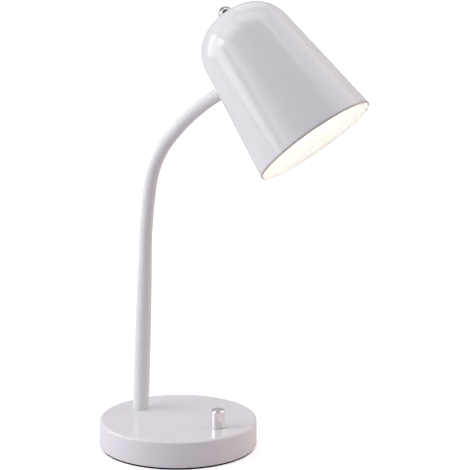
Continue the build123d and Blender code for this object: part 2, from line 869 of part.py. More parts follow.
def finial_screw():
    under = bracket_top() - bracket_thickness
    tip = shade_length + finial_washer_thickness + finial_thread_depth - edge_break
    head = Pos(0, 0, under - finial_head_height) * extrude(Circle(finial_head_radius), finial_head_height)
    head = fillet(head.edges().group_by(Axis.Z)[0], finial_head_height / 3)
    shank = Pos(0, 0, under) * extrude(Circle(finial_screw_radius), tip - under)
    return shade_place() * (head + shank)


# Bracket and lampholder, placed along the shade's axis
def holder_top():
    return bracket_top() - bracket_drop


def holder_bracket():
    # a strip bent into a stirrup, open towards the neck so that the leads can come in
    top = bracket_top()
    outside = Pos(0, 0, top - bracket_drop) * extrude(Rectangle(bracket_width, bracket_span), bracket_drop)
    inner_span = bracket_span - 2 * bracket_thickness
    inner_drop = bracket_drop - 2 * bracket_thickness
    inside = Pos(0, 0, top - bracket_drop + bracket_thickness) * extrude(
        Rectangle(2 * bracket_width, inner_span), inner_drop)
    screw_hole = Pos(0, 0, top - bracket_thickness) * extrude(
        Circle(finial_screw_radius + hole_clearance), bracket_thickness)
    nipple_hole = Pos(0, 0, top - bracket_drop) * extrude(
        Circle(holder_nipple_radius + hole_clearance), bracket_thickness)
    return shade_place() * (outside - inside - screw_hole - nipple_hole)


def nipple_top():
    return holder_top() + bracket_thickness + holder_nut_thickness + edge_break


def holder_nipple():
    tube = ring(holder_nipple_radius, holder_nipple_bore_radius, holder_nipple_length)
    return shade_place() * (Pos(0, 0, nipple_top() - holder_nipple_length) * tube)


def holder_nut():
    nut = hexagon_nut(holder_nut_flats, holder_nut_thickness, holder_nipple_radius + thread_clearance)
    return shade_place() * (Pos(0, 0, holder_top() + bracket_thickness) * nut)


def holder_join():
    return holder_top() - holder_cap_length


def holder_lip():
    return holder_join() - holder_body_length


def lampholder_cap():
    outside = Pos(0, 0, holder_join()) * extrude(Circle(holder_radius), holder_cap_length)
    outside = fillet(outside.edges().group_by(Axis.Z)[-1], holder_edge_radius)
    inside = Pos(0, 0, holder_join()) * extrude(
        Circle(holder_radius - holder_wall), holder_cap_length - holder_wall)
    inside = fillet(inside.edges().group_by(Axis.Z)[-1], holder_edge_radius / 2)
    entry = Pos(0, 0, holder_join()) * extrude(
        Circle(holder_nipple_radius + thread_clearance), holder_cap_length)
    return shade_place() * (outside - inside - entry)


def lampholder_body():
    tube = ring(holder_radius, holder_radius - holder_wall, holder_body_length)
    tube = chamfer(tube.edges().group_by(Axis.Z)[0], edge_break)
    return shade_place() * (Pos(0, 0, holder_lip()) * tube)


def socket_floor():
    return holder_join() - insert_disc_thickness


def socket_mouth():
    return socket_floor() - socket_length


def socket_insert():
    # the insulating piece: a disc across the holder and a tube around the threaded shell
    fit = holder_radius - holder_wall - thread_clearance
    shell_outside = socket_bore_radius + socket_wall
    disc = Pos(0, 0, socket_floor()) * extrude(Circle(fit), insert_disc_thickness)
    tube = Pos(0, 0, socket_mouth()) * ring(
        shell_outside + thread_clearance + insert_tube_wall, shell_outside + thread_clearance, socket_length)
    terminals = []
    for side in (-1, 1):
        terminals.append(Pos(0, side * lead_spacing / 2, socket_floor() + insert_disc_thickness / 2) * extrude(
            Circle(lead_radius + thread_clearance), insert_disc_thickness))
    body = disc + tube
    for hole in terminals:
        body -= hole
    return shade_place() * body


def socket_contacts():
    # the threaded shell and the centre button
    shell = Pos(0, 0, socket_mouth()) * ring(socket_bore_radius + socket_wall, socket_bore_radius, socket_length)
    button = extrude(Circle(contact_radius), contact_height)
    button = fillet(button.edges().group_by(Axis.Z)[0], contact_height / 3)
    button = Pos(0, 0, socket_floor() - contact_height) * button
    return [shade_place() * shell, shade_place() * button]


def head_ends_of_leads():
    # two leads from the neck's stem, up beside the lampholder, over into the bracket and down to the terminals
    frame = shade_place()
    start = frame.to_local_coords(neck_point(neck_length - ferrule_floor))
    rise = -head_lead_radius_from_axis
    over = (holder_top() + bracket_top()) / 2
    down = socket_floor() + insert_disc_thickness / 2
    leads = []
    for side in (-1, 1):
        y = side * lead_spacing / 2
        along = Vector(math.cos(cone_angle), 0, -math.sin(cone_angle))
        first = Vector(start.X, y, start.Z)
        corner = first + along * ((rise - first.X) / along.X)
        route = FilletPolyline(
            first, corner, (rise, y, over), (0, y, over), (0, y, down), radius=head_lead_fillet)
        section = Plane(origin=first, z_dir=along) * Circle(lead_radius)
        leads.append(frame * sweep(section, path=route))
    return leads


# Bulb
def bulb_contact_level():
    return socket_floor() - contact_height


def bulb_cap_top():
    return bulb_contact_level() - bulb_tip_height


def bulb_cap_bottom():
    return bulb_cap_top() - bulb_thread_length


def bulb_cap():
    # the threaded can and the contact at its tip
    can = extrude(Circle(socket_bore_radius - bulb_thread_clearance), bulb_thread_length)
    can = fillet(can.edges().group_by(Axis.Z)[-1], 2 * edge_break)
    tip = Pos(0, 0, bulb_thread_length) * extrude(Circle(bulb_tip_radius), bulb_tip_height)
    lift = Pos(0, 0, bulb_cap_bottom())
    return [shade_place() * (lift * can), shade_place() * (lift * tip)]


def globe_centre():
    return bulb_cap_bottom() - bulb_collar_length - bulb_globe_seat


def bulb_collar():
    # the bulb's flared plastic body between the screw cap and the globe
    top = bulb_cap_bottom()
    neck = top - bulb_collar_neck_length
    seat = top - bulb_collar_length
    seat_radius = math.sqrt(bulb_globe_radius ** 2 - bulb_globe_seat ** 2)
    flank = Spline(
        (bulb_collar_neck_radius, neck), (seat_radius, seat), tangents=[(0, -1), (bulb_collar_flare, -1)])
    rest = Polyline(
        (seat_radius, seat), (0, seat), (0, top), (bulb_collar_neck_radius, top), (bulb_collar_neck_radius, neck))
    return shade_place() * revolve(Plane.XZ * make_face([flank, rest]), Axis.Z)


def bulb_globe():
    globe = Sphere(bulb_globe_radius) - Sphere(bulb_globe_radius - bulb_globe_wall)
    globe -= Pos(0, 0, bulb_globe_seat) * extrude(Circle(2 * bulb_globe_radius), bulb_globe_radius)
    return shade_place() * (Pos(0, 0, globe_centre()) * globe)


def build_parts():
    parts = {
        "base_shell": base_shell(),
        "base_weight": base_weight(),
        "bottom_plate": bottom_plate(),
        "foot_pad": foot_pad(),
        "plate_pillars": plate_pillars(),
        "plate_screws": plate_screws(),
        "cable_gland": cable_gland(),
        "terminal_block": terminal_block(),
        "terminal_screws": terminal_screws(),
        "earth_tag": earth_tag(),
        "earth_screw": earth_screw(),
        "dimmer_leads": dimmer_leads(),
        "dimmer_body": dimmer_body(),
        "dimmer_bush": dimmer_bush(),
        "dimmer_washer": dimmer_washer(),
        "dimmer_nut": dimmer_nut(),
        "dimmer_board": dimmer_board(),
        "dimmer_components": dimmer_components(),
        "dimmer_shaft": dimmer_shaft(),
        "shaft_clip": shaft_clip(),
        "knob_insert": knob_insert(),
        "dimmer_knob": dimmer_knob(),
        "foot_ferrule": foot_ferrule(),
        "foot_washer": foot_washer(),
        "foot_nut": foot_nut(),
        "top_ferrule": top_ferrule(),
        "top_washer": top_washer(),
        "top_nut": top_nut(),
        "shade": shade(),
        "finial_washer": finial_washer(),
        "finial": finial(),
        "finial_screw": finial_screw(),
        "holder_bracket": holder_bracket(),
        "holder_nipple": holder_nipple(),
        "holder_nut": holder_nut(),
        "lampholder_cap": lampholder_cap(),
        "lampholder_body": lampholder_body(),
        "socket_insert": socket_insert(),
        "socket_contacts": socket_contacts(),
        "bulb_cap": bulb_cap(),
        "bulb_collar": bulb_collar(),
        "bulb_globe": bulb_globe(),
    }
    for index, name in enumerate(neck_length_names):
        parts["neck_core_" + name] = neck_core(index)
        parts["neck_leads_" + name] = neck_leads(index)
    for index, (name, place, limit) in enumerate(neck_bends):
        parts["neck_sleeve_" + name] = neck_sleeve(index)
    return parts


def write_parts(parts):
    os.makedirs("parts", exist_ok=True)
    for name, shape in parts.items():
        if isinstance(shape, list):
            solids = [solid for piece in shape for solid in piece.solids()]
        else:
            solids = list(shape.solids())
        whole = solids[0] if len(solids) == 1 else Compound(children=solids)
        export_step(whole, "parts/" + name + ".step")


write_parts(build_parts())
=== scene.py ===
import bpy
import bmesh
import json
import math
from mathutils import Matrix, Vector, noise


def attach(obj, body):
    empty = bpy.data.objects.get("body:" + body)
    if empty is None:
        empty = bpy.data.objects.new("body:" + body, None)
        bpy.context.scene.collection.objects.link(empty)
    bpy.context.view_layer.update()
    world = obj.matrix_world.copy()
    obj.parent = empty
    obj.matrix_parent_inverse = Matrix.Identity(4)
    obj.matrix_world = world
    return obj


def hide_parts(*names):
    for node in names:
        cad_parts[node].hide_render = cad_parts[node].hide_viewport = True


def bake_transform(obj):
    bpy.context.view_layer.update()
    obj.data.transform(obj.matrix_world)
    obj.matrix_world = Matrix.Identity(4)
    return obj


# Desk lamp: round base with a dimmer knob, flexible sleeved neck, bell shade with a finial and a lit bulb.
# The dictionaries hold millimetres and degrees, and the studio's hold metres. The meshes are made in
# metres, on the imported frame. "around" counts the points in a ring, and "spacing" is the most between
# two rings.

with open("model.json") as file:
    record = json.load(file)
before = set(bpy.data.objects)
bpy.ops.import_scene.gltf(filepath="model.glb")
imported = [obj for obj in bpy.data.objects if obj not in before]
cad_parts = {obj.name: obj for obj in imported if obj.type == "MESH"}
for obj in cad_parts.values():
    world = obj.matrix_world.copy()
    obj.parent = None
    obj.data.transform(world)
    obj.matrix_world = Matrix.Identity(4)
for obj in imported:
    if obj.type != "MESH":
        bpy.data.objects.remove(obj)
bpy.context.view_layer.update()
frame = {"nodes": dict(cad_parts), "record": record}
cadNodes = frame["nodes"]
mm = 0.001   # in metres
print("frame loaded:", len(cadNodes), "nodes")


# Mesh helpers

meshing = {
    "crease": 40.0,     # degrees: an edge that turns by more is sharp
    "onAxis": 0.0001,   # millimetres: an outline's point this near the axis is on it
    "drillSides": 64,
}


def linkObject(name, data):
    piece = bpy.data.objects.new(name, data)
    bpy.context.scene.collection.objects.link(piece)
    return piece


def meshFrom(name, points, faces, sharpAngle=meshing["crease"]):
    # a smooth mesh with outward faces, creased where it turns by more than the angle
    mesh = bpy.data.meshes.new(name)
    mesh.from_pydata([tuple(point) for point in points], [], faces)
    shaped = bmesh.new()
    shaped.from_mesh(mesh)
    bmesh.ops.recalc_face_normals(shaped, faces=shaped.faces)
    shaped.to_mesh(mesh)
    shaped.free()
    mesh.polygons.foreach_set("use_smooth", [True] * len(mesh.polygons))
    mesh.set_sharp_from_angle(angle=math.radians(sharpAngle))
    return mesh


def arcPoints(centre, start, stop, steps):
    # points on the arc from start to stop, the short way round
    first = math.atan2(start.y - centre.y, start.x - centre.x)
    last = math.atan2(stop.y - centre.y, stop.x - centre.x)
    swing = (last - first + math.pi) % (2 * math.pi) - math.pi
    radius = (start - centre).length
    angles = [first + swing * step / steps for step in range(steps + 1)]
    return [centre + Vector((math.cos(angle), math.sin(angle))) * radius for angle in angles]


def roundedOutline(corners, closed=False, steps=5, support=0.12):
    # (radius, height, rounding) corners, each rounded by an arc with a point close by on either side
    count = len(corners)
    outline = []
    for index, (radius, height, rounding) in enumerate(corners):
        here = Vector((radius, height))
        if rounding <= 0 or (not closed and index in (0, count - 1)):
            outline.append(here)
            continue
        before = (Vector(corners[index - 1][:2]) - here).normalized()
        after = (Vector(corners[(index + 1) % count][:2]) - here).normalized()
        half = before.angle(after) / 2
        reach = rounding / math.tan(half)
        centre = here + (before + after).normalized() * (rounding / math.sin(half))
        outline.append(here + before * (reach + support))
        outline += arcPoints(centre, here + before * reach, here + after * reach, steps)
        outline.append(here + after * (reach + support))
    return outline


def divided(outline, longest):
    # the same outline with its long stretches cut into shorter ones
    points = []
    for start, stop in zip(outline, outline[1:]):
        parts = max(1, math.ceil((stop - start).length / longest))
        points += [start.lerp(stop, part / parts) for part in range(parts)]
    return points + [outline[-1]]


def turnedPiece(name, outline, place, around, closed=False):
    # an outline of (radius, height) in millimetres, turned round the place's Z axis
    points, faces, rings = [], [], []
    for radius, height in outline:
        if radius < meshing["onAxis"]:
            rings.append([len(points)] * around)
            points.append(place @ Vector((0, 0, height * mm)))
            continue
        rings.append(list(range(len(points), len(points) + around)))
        for step in range(around):
            angle = 2 * math.pi * step / around
            spoke = Vector((radius * math.cos(angle), radius * math.sin(angle), height)) * mm
            points.append(place @ spoke)
    pairs = list(zip(rings, rings[1:]))
    if closed:
        pairs.append((rings[-1], rings[0]))
    for low, high in pairs:
        for step in range(around):
            turn = (step + 1) % around
            face = []
            for corner in (low[step], low[turn], high[turn], high[step]):
                if corner not in face:
                    face.append(corner)
            if len(face) > 2:
                faces.append(face)
    return linkObject(name, meshFrom(name, points, faces))


def placeAt(origin, zAxis, xAxis=None):
    # the matrix of a place, given in millimetres, whose Z runs along an axis
    up = Vector(zAxis).normalized()
    aside = Vector(xAxis) if xAxis is not None else up.orthogonal()
    aside = (aside - up * aside.dot(up)).normalized()
    turn = Matrix((aside, up.cross(aside), up)).transposed()
    return Matrix.Translation(Vector(origin) * mm) @ turn.to_4x4()


def cutAway(piece, drills):
    # takes round holes, each (place, radius, length), out of the piece
    cutters = []
    for place, radius, length in drills:
        corners = [(0, -length / 2), (radius, -length / 2), (radius, length / 2), (0, length / 2)]
        outline = [Vector(corner) for corner in corners]
        cutter = turnedPiece("drill", outline, place, meshing["drillSides"])
        step = piece.modifiers.new("hole", "BOOLEAN")
        step.operation = "DIFFERENCE"
        step.solver = "EXACT"
        step.object = cutter
        cutters.append(cutter)
    bpy.context.view_layer.update()
    seen = piece.evaluated_get(bpy.context.evaluated_depsgraph_get())
    drilled = bpy.data.meshes.new_from_object(seen)
    drilled.set_sharp_from_angle(angle=math.radians(meshing["crease"]))
    piece.modifiers.clear()
    piece.data = drilled
    for cutter in cutters:
        bpy.data.objects.remove(cutter)


# Materials

def fillSockets(node, sockets):
    # each socket takes a plain value or the output of another node
    for key, value in sockets.items():
        socket = node.inputs[key]
        if isinstance(value, bpy.types.NodeSocket):
            node.id_data.links.new(value, socket)
        else:
            socket.default_value = (*value, 1.0) if socket.type == "RGBA" else value


def newNode(tree, kind, sockets=None, **settings):
    # the settings come first, because some of them choose the sockets
    made = tree.nodes.new("ShaderNode" + kind)
    for name, value in settings.items():
        setattr(made, name, value)
    fillSockets(made, sockets or {})
    return made


def newMaterial(name, colour, roughness, metallic=0.0):
    # the plain look, which each maker varies over the surface; the roughness is (least, most)
    material = bpy.data.materials.new(name)
    material.use_nodes = True
    shader = material.node_tree.nodes["Principled BSDF"]
    fillSockets(shader, {"Base Color": colour, "Roughness": sum(roughness) / 2, "Metallic": metallic})
    return material, material.node_tree, shader


def onSurface(tree):
    # places on the surface that ride with the piece
    return newNode(tree, "TexCoord").outputs["Object"]


def onRestShape(tree):
    # places kept from the neck at rest, so the grain doesn't slide when it bends
    return newNode(tree, "Attribute", attribute_name="restPlace").outputs["Vector"]


def noiseOn(tree, place, scale, detail=3.0, roughness=0.5):
    sockets = {"Vector": place, "Scale": scale, "Detail": detail, "Roughness": roughness}
    return newNode(tree, "TexNoise", sockets).outputs["Fac"]


def cellsOn(tree, place, scale):
    return newNode(tree, "TexVoronoi", {"Vector": place, "Scale": scale}).outputs["Distance"]


def wavesOn(tree, place, scale, across="X"):
    sockets = {"Vector": place, "Scale": scale}
    return newNode(tree, "TexWave", sockets, bands_direction=across).outputs["Fac"]


def spread(tree, value, low, high, fromLow=0.3, fromHigh=0.7):
    # from low to high; noise lies mostly between 0.3 and 0.7
    sockets = {"Value": value, "From Min": fromLow, "From Max": fromHigh, "To Min": low, "To Max": high}
    return newNode(tree, "MapRange", sockets).outputs["Result"]


def mixColours(tree, factor, first, second):
    # colours go in at sockets 6 and 7 and come out at 2
    return newNode(tree, "Mix", {0: factor, 6: first, 7: second}, data_type="RGBA").outputs[2]


def colourBetween(tree, shader, mask, low, high, *limits):
    fillSockets(shader, {"Base Color": mixColours(tree, spread(tree, mask, 0.0, 1.0, *limits), low, high)})


def roughnessBetween(tree, shader, mask, low, high, *limits):
    fillSockets(shader, {"Roughness": spread(tree, mask, low, high, *limits)})


def emboss(tree, shader, heights):
    # one bump after another, each (height, depth in millimetres)
    sockets = {}
    for height, depth in heights:
        sockets.update({"Height": height, "Distance": depth * mm})
        sockets["Normal"] = newNode(tree, "Bump", sockets).outputs["Normal"]
    fillSockets(shader, {"Normal": sockets["Normal"]})


def embossGrains(tree, shader, place, *grains):
    # bumps of noise; a grain is (scale, detail, depth in millimetres)
    emboss(tree, shader, [(noiseOn(tree, place, scale, detail), depth) for scale, detail, depth in grains])


paintFinish = {
    "head": ((0.797, 0.808, 0.838), (0.782, 0.793, 0.823)),   # clean and dusty
    # painted light: the base's paint is a warmer copy of the shade's, for the warmer light that falls on
    # it
    "base": ((0.818, 0.803, 0.85), (0.803, 0.788, 0.835)),
    # painted shade: the colour of the dark line round the shade's rim
    "edge": (0.40, 0.345, 0.36),
    "roughness": (0.09, 0.13),
    "cloudScale": 35.0,
    "wipeScale": 90.0,
    "ripple": (60.0, 1.0, 0.010),
    "orangePeel": (650.0, 1.0, 0.0012),
}


def makeGlossPaint(name, clean, dusty):
    # wet-look stove enamel: an even colour, faint orange peel and a slow ripple, with painted shade round
    # the shade's rim
    look = paintFinish
    material, tree, shader = newMaterial(name, clean, look["roughness"])
    place = onSurface(tree)
    clouds = noiseOn(tree, place, look["cloudScale"])
    colour = mixColours(tree, spread(tree, clouds, 0.0, 1.0), dusty, clean)
    # painted shade: the rim is mixed towards the edge colour by this point attribute
    rimShade = newNode(tree, "Attribute", attribute_name="paintedRimShade").outputs["Fac"]
    fillSockets(shader, {"Base Color": mixColours(tree, rimShade, colour, look["edge"])})
    roughnessBetween(tree, shader, noiseOn(tree, place, look["wipeScale"]), *look["roughness"])
    embossGrains(tree, shader, place, look["ripple"], look["orangePeel"])
    return material


siliconeFinish = {
    "colour": (0.80, 0.81, 0.83),
    "dusty": (0.775, 0.785, 0.805),
    "roughness": (0.48, 0.60),
    "bloom": (120.0, 4.0),
    "grain": (260.0, 2.0, 0.012),
    "tooth": (2600.0, 2.0, 0.005),
}


def makeSilicone():
    # matt silicone rubber with a powdery bloom and a very fine tooth
    look = siliconeFinish
    material, tree, shader = newMaterial("siliconeSleeve", look["colour"], look["roughness"])
    place = onRestShape(tree)
    bloom = noiseOn(tree, place, *look["bloom"])
    colourBetween(tree, shader, bloom, look["dusty"], look["colour"])
    roughnessBetween(tree, shader, bloom, *look["roughness"])
    embossGrains(tree, shader, place, look["grain"], look["tooth"])
    return material


# each metal: name, colour, tarnish, roughness, and its grain
metalFinishes = {
    "chrome": (
        "chromePlate", (0.85, 0.825, 0.835), (0.80, 0.775, 0.785), (0.05, 0.09), (1400.0, 3.0, 0.0006)),
    "finial_chrome_painted_shade": (   # painted shade: a darker copy of the chrome, for the dark reflections round the finial
        "finialChromePaintedShade", (0.50, 0.49, 0.50), (0.45, 0.44, 0.45), (0.05, 0.08), (1400.0, 3.0, 0.0006)),
    "steel": ("zincSteel", (0.60, 0.61, 0.62), (0.45, 0.46, 0.47), (0.28, 0.42), (900.0, 3.0, 0.006)),
    "brass": ("brass", (0.75, 0.55, 0.27), (0.52, 0.36, 0.17), (0.22, 0.38), (900.0, 3.0, 0.004)),
    "nickel": ("nickelPlate", (0.64, 0.62, 0.58), (0.50, 0.48, 0.45), (0.20, 0.34), (900.0, 3.0, 0.003)),
}
metalStain = (70.0, 4.0, 0.6)   # the scale, detail and roughness of the tarnish's noise


def makeMetal(name, colour, tarnish, roughness, grain):
    # a bare or plated metal: tarnish in soft patches, and a fine grain
    material, tree, shader = newMaterial(name, colour, roughness, 1.0)
    place = onSurface(tree)
    stain = noiseOn(tree, place, *metalStain)
    colourBetween(tree, shader, stain, tarnish, colour)
    roughnessBetween(tree, shader, stain, *reversed(roughness))
    embossGrains(tree, shader, place, grain)
    return material


coreFinish = {
    "colour": (0.55, 0.55, 0.56),
    # painted shade: the colour in the grooves between the turns
    "groove": (0.22, 0.22, 0.23),
    "roughness": (0.28, 0.42),
    "turnScale": 160.0,
    "turnDepth": 0.35,
    "oilScale": 150.0,
}


def makeWoundSteel():
    # the close-wound core: one groove a turn, with painted shade in each groove
    look = coreFinish
    material, tree, shader = newMaterial("woundSteel", look["colour"], look["roughness"], 1.0)
    place = onSurface(tree)
    turns = wavesOn(tree, place, look["turnScale"], "Z")
    fillSockets(shader, {"Base Color": mixColours(tree, turns, look["groove"], look["colour"])})
    roughnessBetween(tree, shader, noiseOn(tree, place, look["oilScale"]), *look["roughness"])
    emboss(tree, shader, [(turns, look["turnDepth"])])
    return material


ironFinish = {
    "colour": (0.055, 0.053, 0.052),
    "rust": (0.13, 0.07, 0.045),
    "roughness": (0.65, 0.85),
    "metallic": 0.6,
    "sand": (420.0, 6.0, 0.7),
    "sandDepth": 0.12,
    "rustPatches": (45.0, 5.0),
    "rustLimits": (0.5, 0.75),
}


def makeIron():
    # sand-cast iron, rough and blackened
    look = ironFinish
    material, tree, shader = newMaterial("castIron", look["colour"], look["roughness"], look["metallic"])
    place = onSurface(tree)
    sand = noiseOn(tree, place, *look["sand"])
    rust = noiseOn(tree, place, *look["rustPatches"])
    colourBetween(tree, shader, rust, look["colour"], look["rust"], *look["rustLimits"])
    roughnessBetween(tree, shader, sand, *look["roughness"])
    emboss(tree, shader, [(sand, look["sandDepth"])])
    return material


foamFinish = {
    "colour": (0.012, 0.012, 0.013),
    "darker": (0.006, 0.006, 0.007),
    "roughness": (0.80, 0.95),
    "shine": 0.15,
    "wornScale": 80.0,
    "cellScale": 2200.0,
    "cellDepth": 0.06,
    "cellLimits": (0.0, 0.8),
}


def makeFoam():
    # closed-cell black foam
    look = foamFinish
    material, tree, shader = newMaterial("padFoam", look["colour"], look["roughness"])
    place = onSurface(tree)
    cells = cellsOn(tree, place, look["cellScale"])
    worn = noiseOn(tree, place, look["wornScale"])
    colourBetween(tree, shader, worn, look["darker"], look["colour"])
    roughnessBetween(tree, shader, cells, *reversed(look["roughness"]), *look["cellLimits"])
    fillSockets(shader, {"Specular IOR Level": look["shine"]})
    emboss(tree, shader, [(cells, look["cellDepth"])])
    return material


# each plastic: name, colour, roughness, and its spark texture
plasticFinishes = {
    "black_plastic": ("blackPlastic", (0.022, 0.022, 0.024), 0.42, (1500.0, 2.0, 0.003)),
    "white_plastic": ("whitePlastic", (0.78, 0.77, 0.74), 0.35, (1500.0, 2.0, 0.003)),
    "gland_plastic": ("glandPlastic", (0.76, 0.755, 0.77), 0.45, (1500.0, 2.0, 0.003)),
    "lead_insulation": ("leadInsulation", (0.70, 0.69, 0.66), 0.45, (2200.0, 2.0, 0.004)),
}
mottling = {"scale": 50.0, "darker": 0.95, "roughness": (0.85, 1.1), "sinkMarks": (80.0, 1.0, 0.01)}


def makePlastic(name, colour, roughness, spark):
    # moulded plastic with a fine spark texture and slight sink marks
    varied = [roughness * share for share in mottling["roughness"]]
    material, tree, shader = newMaterial(name, colour, varied)
    place = onSurface(tree)
    mottle = noiseOn(tree, place, mottling["scale"])
    deeper = [channel * mottling["darker"] for channel in colour]
    colourBetween(tree, shader, mottle, deeper, colour)
    roughnessBetween(tree, shader, mottle, *varied)
    embossGrains(tree, shader, place, mottling["sinkMarks"], spark)
    return material


boardFinish = {
    "colour": (0.03, 0.14, 0.065),
    "darker": (0.018, 0.10, 0.045),
    "roughness": (0.35, 0.45),
    "weaveScale": 700.0,
    "weaveDepth": 0.01,
}


def makeBoard():
    # green circuit board with the glass weave showing through
    look = boardFinish
    material, tree, shader = newMaterial("circuitBoard", look["colour"], look["roughness"])
    place = onSurface(tree)
    warp, weft = wavesOn(tree, place, look["weaveScale"]), wavesOn(tree, place, look["weaveScale"], "Y")
    fillSockets(shader, {"Base Color": mixColours(tree, warp, look["darker"], look["colour"])})
    roughnessBetween(tree, shader, weft, *look["roughness"], 0.0, 1.0)
    emboss(tree, shader, [(warp, look["weaveDepth"]), (weft, look["weaveDepth"])])
    return material


bulbFinish = {
    "colour": (0.86, 0.84, 0.80),
    "darker": 0.96,
    "roughness": (0.38, 0.5),
    "hazeScale": 90.0,
    "frost": (1800.0, 2.0, 0.003),
    "glow": (1.0, 0.93, 0.75),
    "strength": 6.5,
}


def makeOpal():
    # opal diffuser, lit evenly from inside
    look = bulbFinish
    material, tree, shader = newMaterial("opalDiffuser", look["colour"], look["roughness"])
    place = onSurface(tree)
    haze = noiseOn(tree, place, look["hazeScale"])
    deeper = [channel * look["darker"] for channel in look["colour"]]
    colourBetween(tree, shader, haze, deeper, look["colour"])
    roughnessBetween(tree, shader, haze, *look["roughness"])
    embossGrains(tree, shader, place, look["frost"])
    fillSockets(shader, {"Emission Color": look["glow"], "Emission Strength": look["strength"]})
    return material


finishes = {
    "gloss_paint": makeGlossPaint("glossPaint", *paintFinish["head"]),
    "base_gloss_paint_warm_light": makeGlossPaint("baseGlossPaintWarmLight", *paintFinish["base"]),   # painted light: a warmer, mauve copy of the paint, for the warmer light on the base
    "sleeve": makeSilicone(),
    **{key: makeMetal(*look) for key, look in metalFinishes.items()},
    "wound_steel": makeWoundSteel(),
    "iron": makeIron(),
    "pad_foam": makeFoam(),
    **{key: makePlastic(*look) for key, look in plasticFinishes.items()},
    "board": makeBoard(),
    "bulb_diffuser": makeOpal(),
}

for subpart in frame["record"]["subparts"]:
    for materialSlot in cadNodes[subpart["node"]].material_slots:
        materialSlot.material = finishes[subpart["material_slot"]]
print("materials made:", len(finishes))


def dress(piece, body, slot, *replaced, finish=None):
    # gives a new piece its finish, its body and the nodes it stands for
    piece.data.materials.clear()
    piece.data.materials.append(finishes[finish or slot])
    if body is not None:
        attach(piece, body)
    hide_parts(*replaced)


# The neck's line, in the upright plane through its foot: lengths, and degrees turned forward on each

neckLine = {
    "foot": (-46.8, 0.0),
    "footHeight": 27.1,
    "heading": 7.8,
    "lean": 2.46,
    "runs": [(165.0, 0.0), (58.0, 7.1), (49.0, 29.1), (66.0, 18.2), (14.8, 0.0)],
}
neckLength = sum(length for length, turn in neckLine["runs"])
neckEndLean = neckLine["lean"] + sum(turn for length, turn in neckLine["runs"])
heading = math.radians(neckLine["heading"])
forward = Vector((math.cos(heading), math.sin(heading), 0))
sideways = Vector((0, 0, 1)).cross(forward)


def neckFrame(distance):
    # the centreline's point, front and up at a distance from the foot
    along, height, lean = 0.0, neckLine["footHeight"], math.radians(neckLine["lean"])
    left = distance
    runs = neckLine["runs"]
    for index, (length, turn) in enumerate(runs):
        step = left if index == len(runs) - 1 else min(left, length)
        bend = math.radians(turn) * step / length
        if abs(bend) < 1e-9:   # a straight run
            along += step * math.sin(lean)
            height += step * math.cos(lean)
        else:
            radius = step / bend
            along += radius * (math.cos(lean) - math.cos(lean + bend))
            height += radius * (math.sin(lean + bend) - math.sin(lean))
        lean += bend
        left -= step
        if left <= 0 and step > 0:
            break
    point = Vector((*neckLine["foot"], 0)) + forward * along + Vector((0, 0, height))
    front = forward * math.cos(lean) - Vector((0, 0, math.sin(lean)))
    up = forward * math.sin(lean) + Vector((0, 0, math.cos(lean)))
    return point, front, up


# Shade

shadeForm = {
    "mouthRadius": 59.05,
    "flare": 7.45,
    "shoulderRadius": 36.45,
    "crownRadius": 64.3,
    "length": 143.5,
    "wall": 0.7,
    "hemExtra": 0.6,
    "hemDepth": 4.0,
    "hemRounding": (0.25, 0.1),
    "rimRounding": (0.7, 0.4),
    "rimRun": 1.5,
    "paintedRimShade": (0.4, 2.4),   # full up to the first height over the mouth, none from the second on
    "paintedRimShadeInset": 0.95,
    "paintedRimShadeInside": 0.8,    # how strong the painted shade is on the inner side of the rim, up to the height below
    "paintedRimShadeInsideTop": 0.3,
    "neckHoleDistance": 92.1,
    "neckHoleRadius": 4.2,
    "drillLength": 8.0,
    "screwHoleRadius": 2.7,
    "coneSpacing": 3.2,
    "shoulderSteps": 26,
    "crownSteps": 10,
    "around": 176,
}
flare = math.radians(shadeForm["flare"])


def shadePlaceAt():
    # origin at the mouth's centre, Z to the crown, X to the front
    tilt = math.radians(90.0 - neckEndLean + shadeForm["flare"])
    toCrown = forward * -math.sin(tilt) + Vector((0, 0, math.cos(tilt)))
    toFront = forward * math.cos(tilt) + Vector((0, 0, math.sin(tilt)))
    depth = shadeForm["neckHoleDistance"] * math.cos(flare)
    radius = shadeForm["mouthRadius"] - shadeForm["neckHoleDistance"] * math.sin(flare)
    mouth = neckFrame(neckLength)[0] - toCrown * depth + toFront * radius
    return placeAt(mouth, toCrown, toFront)


def shadeCentres():
    # the crown's centre, the shoulder's centre, and the angle where the shoulder meets the crown
    mouth, shoulder, crown = (shadeForm[key] for key in ("mouthRadius", "shoulderRadius", "crownRadius"))
    crownHeight = shadeForm["length"] - crown
    across = mouth * math.cos(flare) - crownHeight * math.sin(flare) - shoulder
    coneLength = mouth * math.sin(flare) + crownHeight * math.cos(flare)
    coneLength += math.sqrt((crown - shoulder) ** 2 - across ** 2)
    radius = mouth - coneLength * math.sin(flare) - shoulder * math.cos(flare)
    height = coneLength * math.cos(flare) - shoulder * math.sin(flare)
    return Vector((0, crownHeight)), Vector((radius, height)), math.atan2(height - crownHeight, radius)


shadePlace = shadePlaceAt()
crownCentre, shoulderCentre, shoulderStop = shadeCentres()


def wallRadius(inset, height):
    # radius of the cone at a height over the mouth, for a wall set inward
    return shadeForm["mouthRadius"] - height * math.tan(flare) - inset / math.cos(flare)


def onArc(centre, radius, angle):
    return centre + Vector((math.cos(angle), math.sin(angle))) * radius


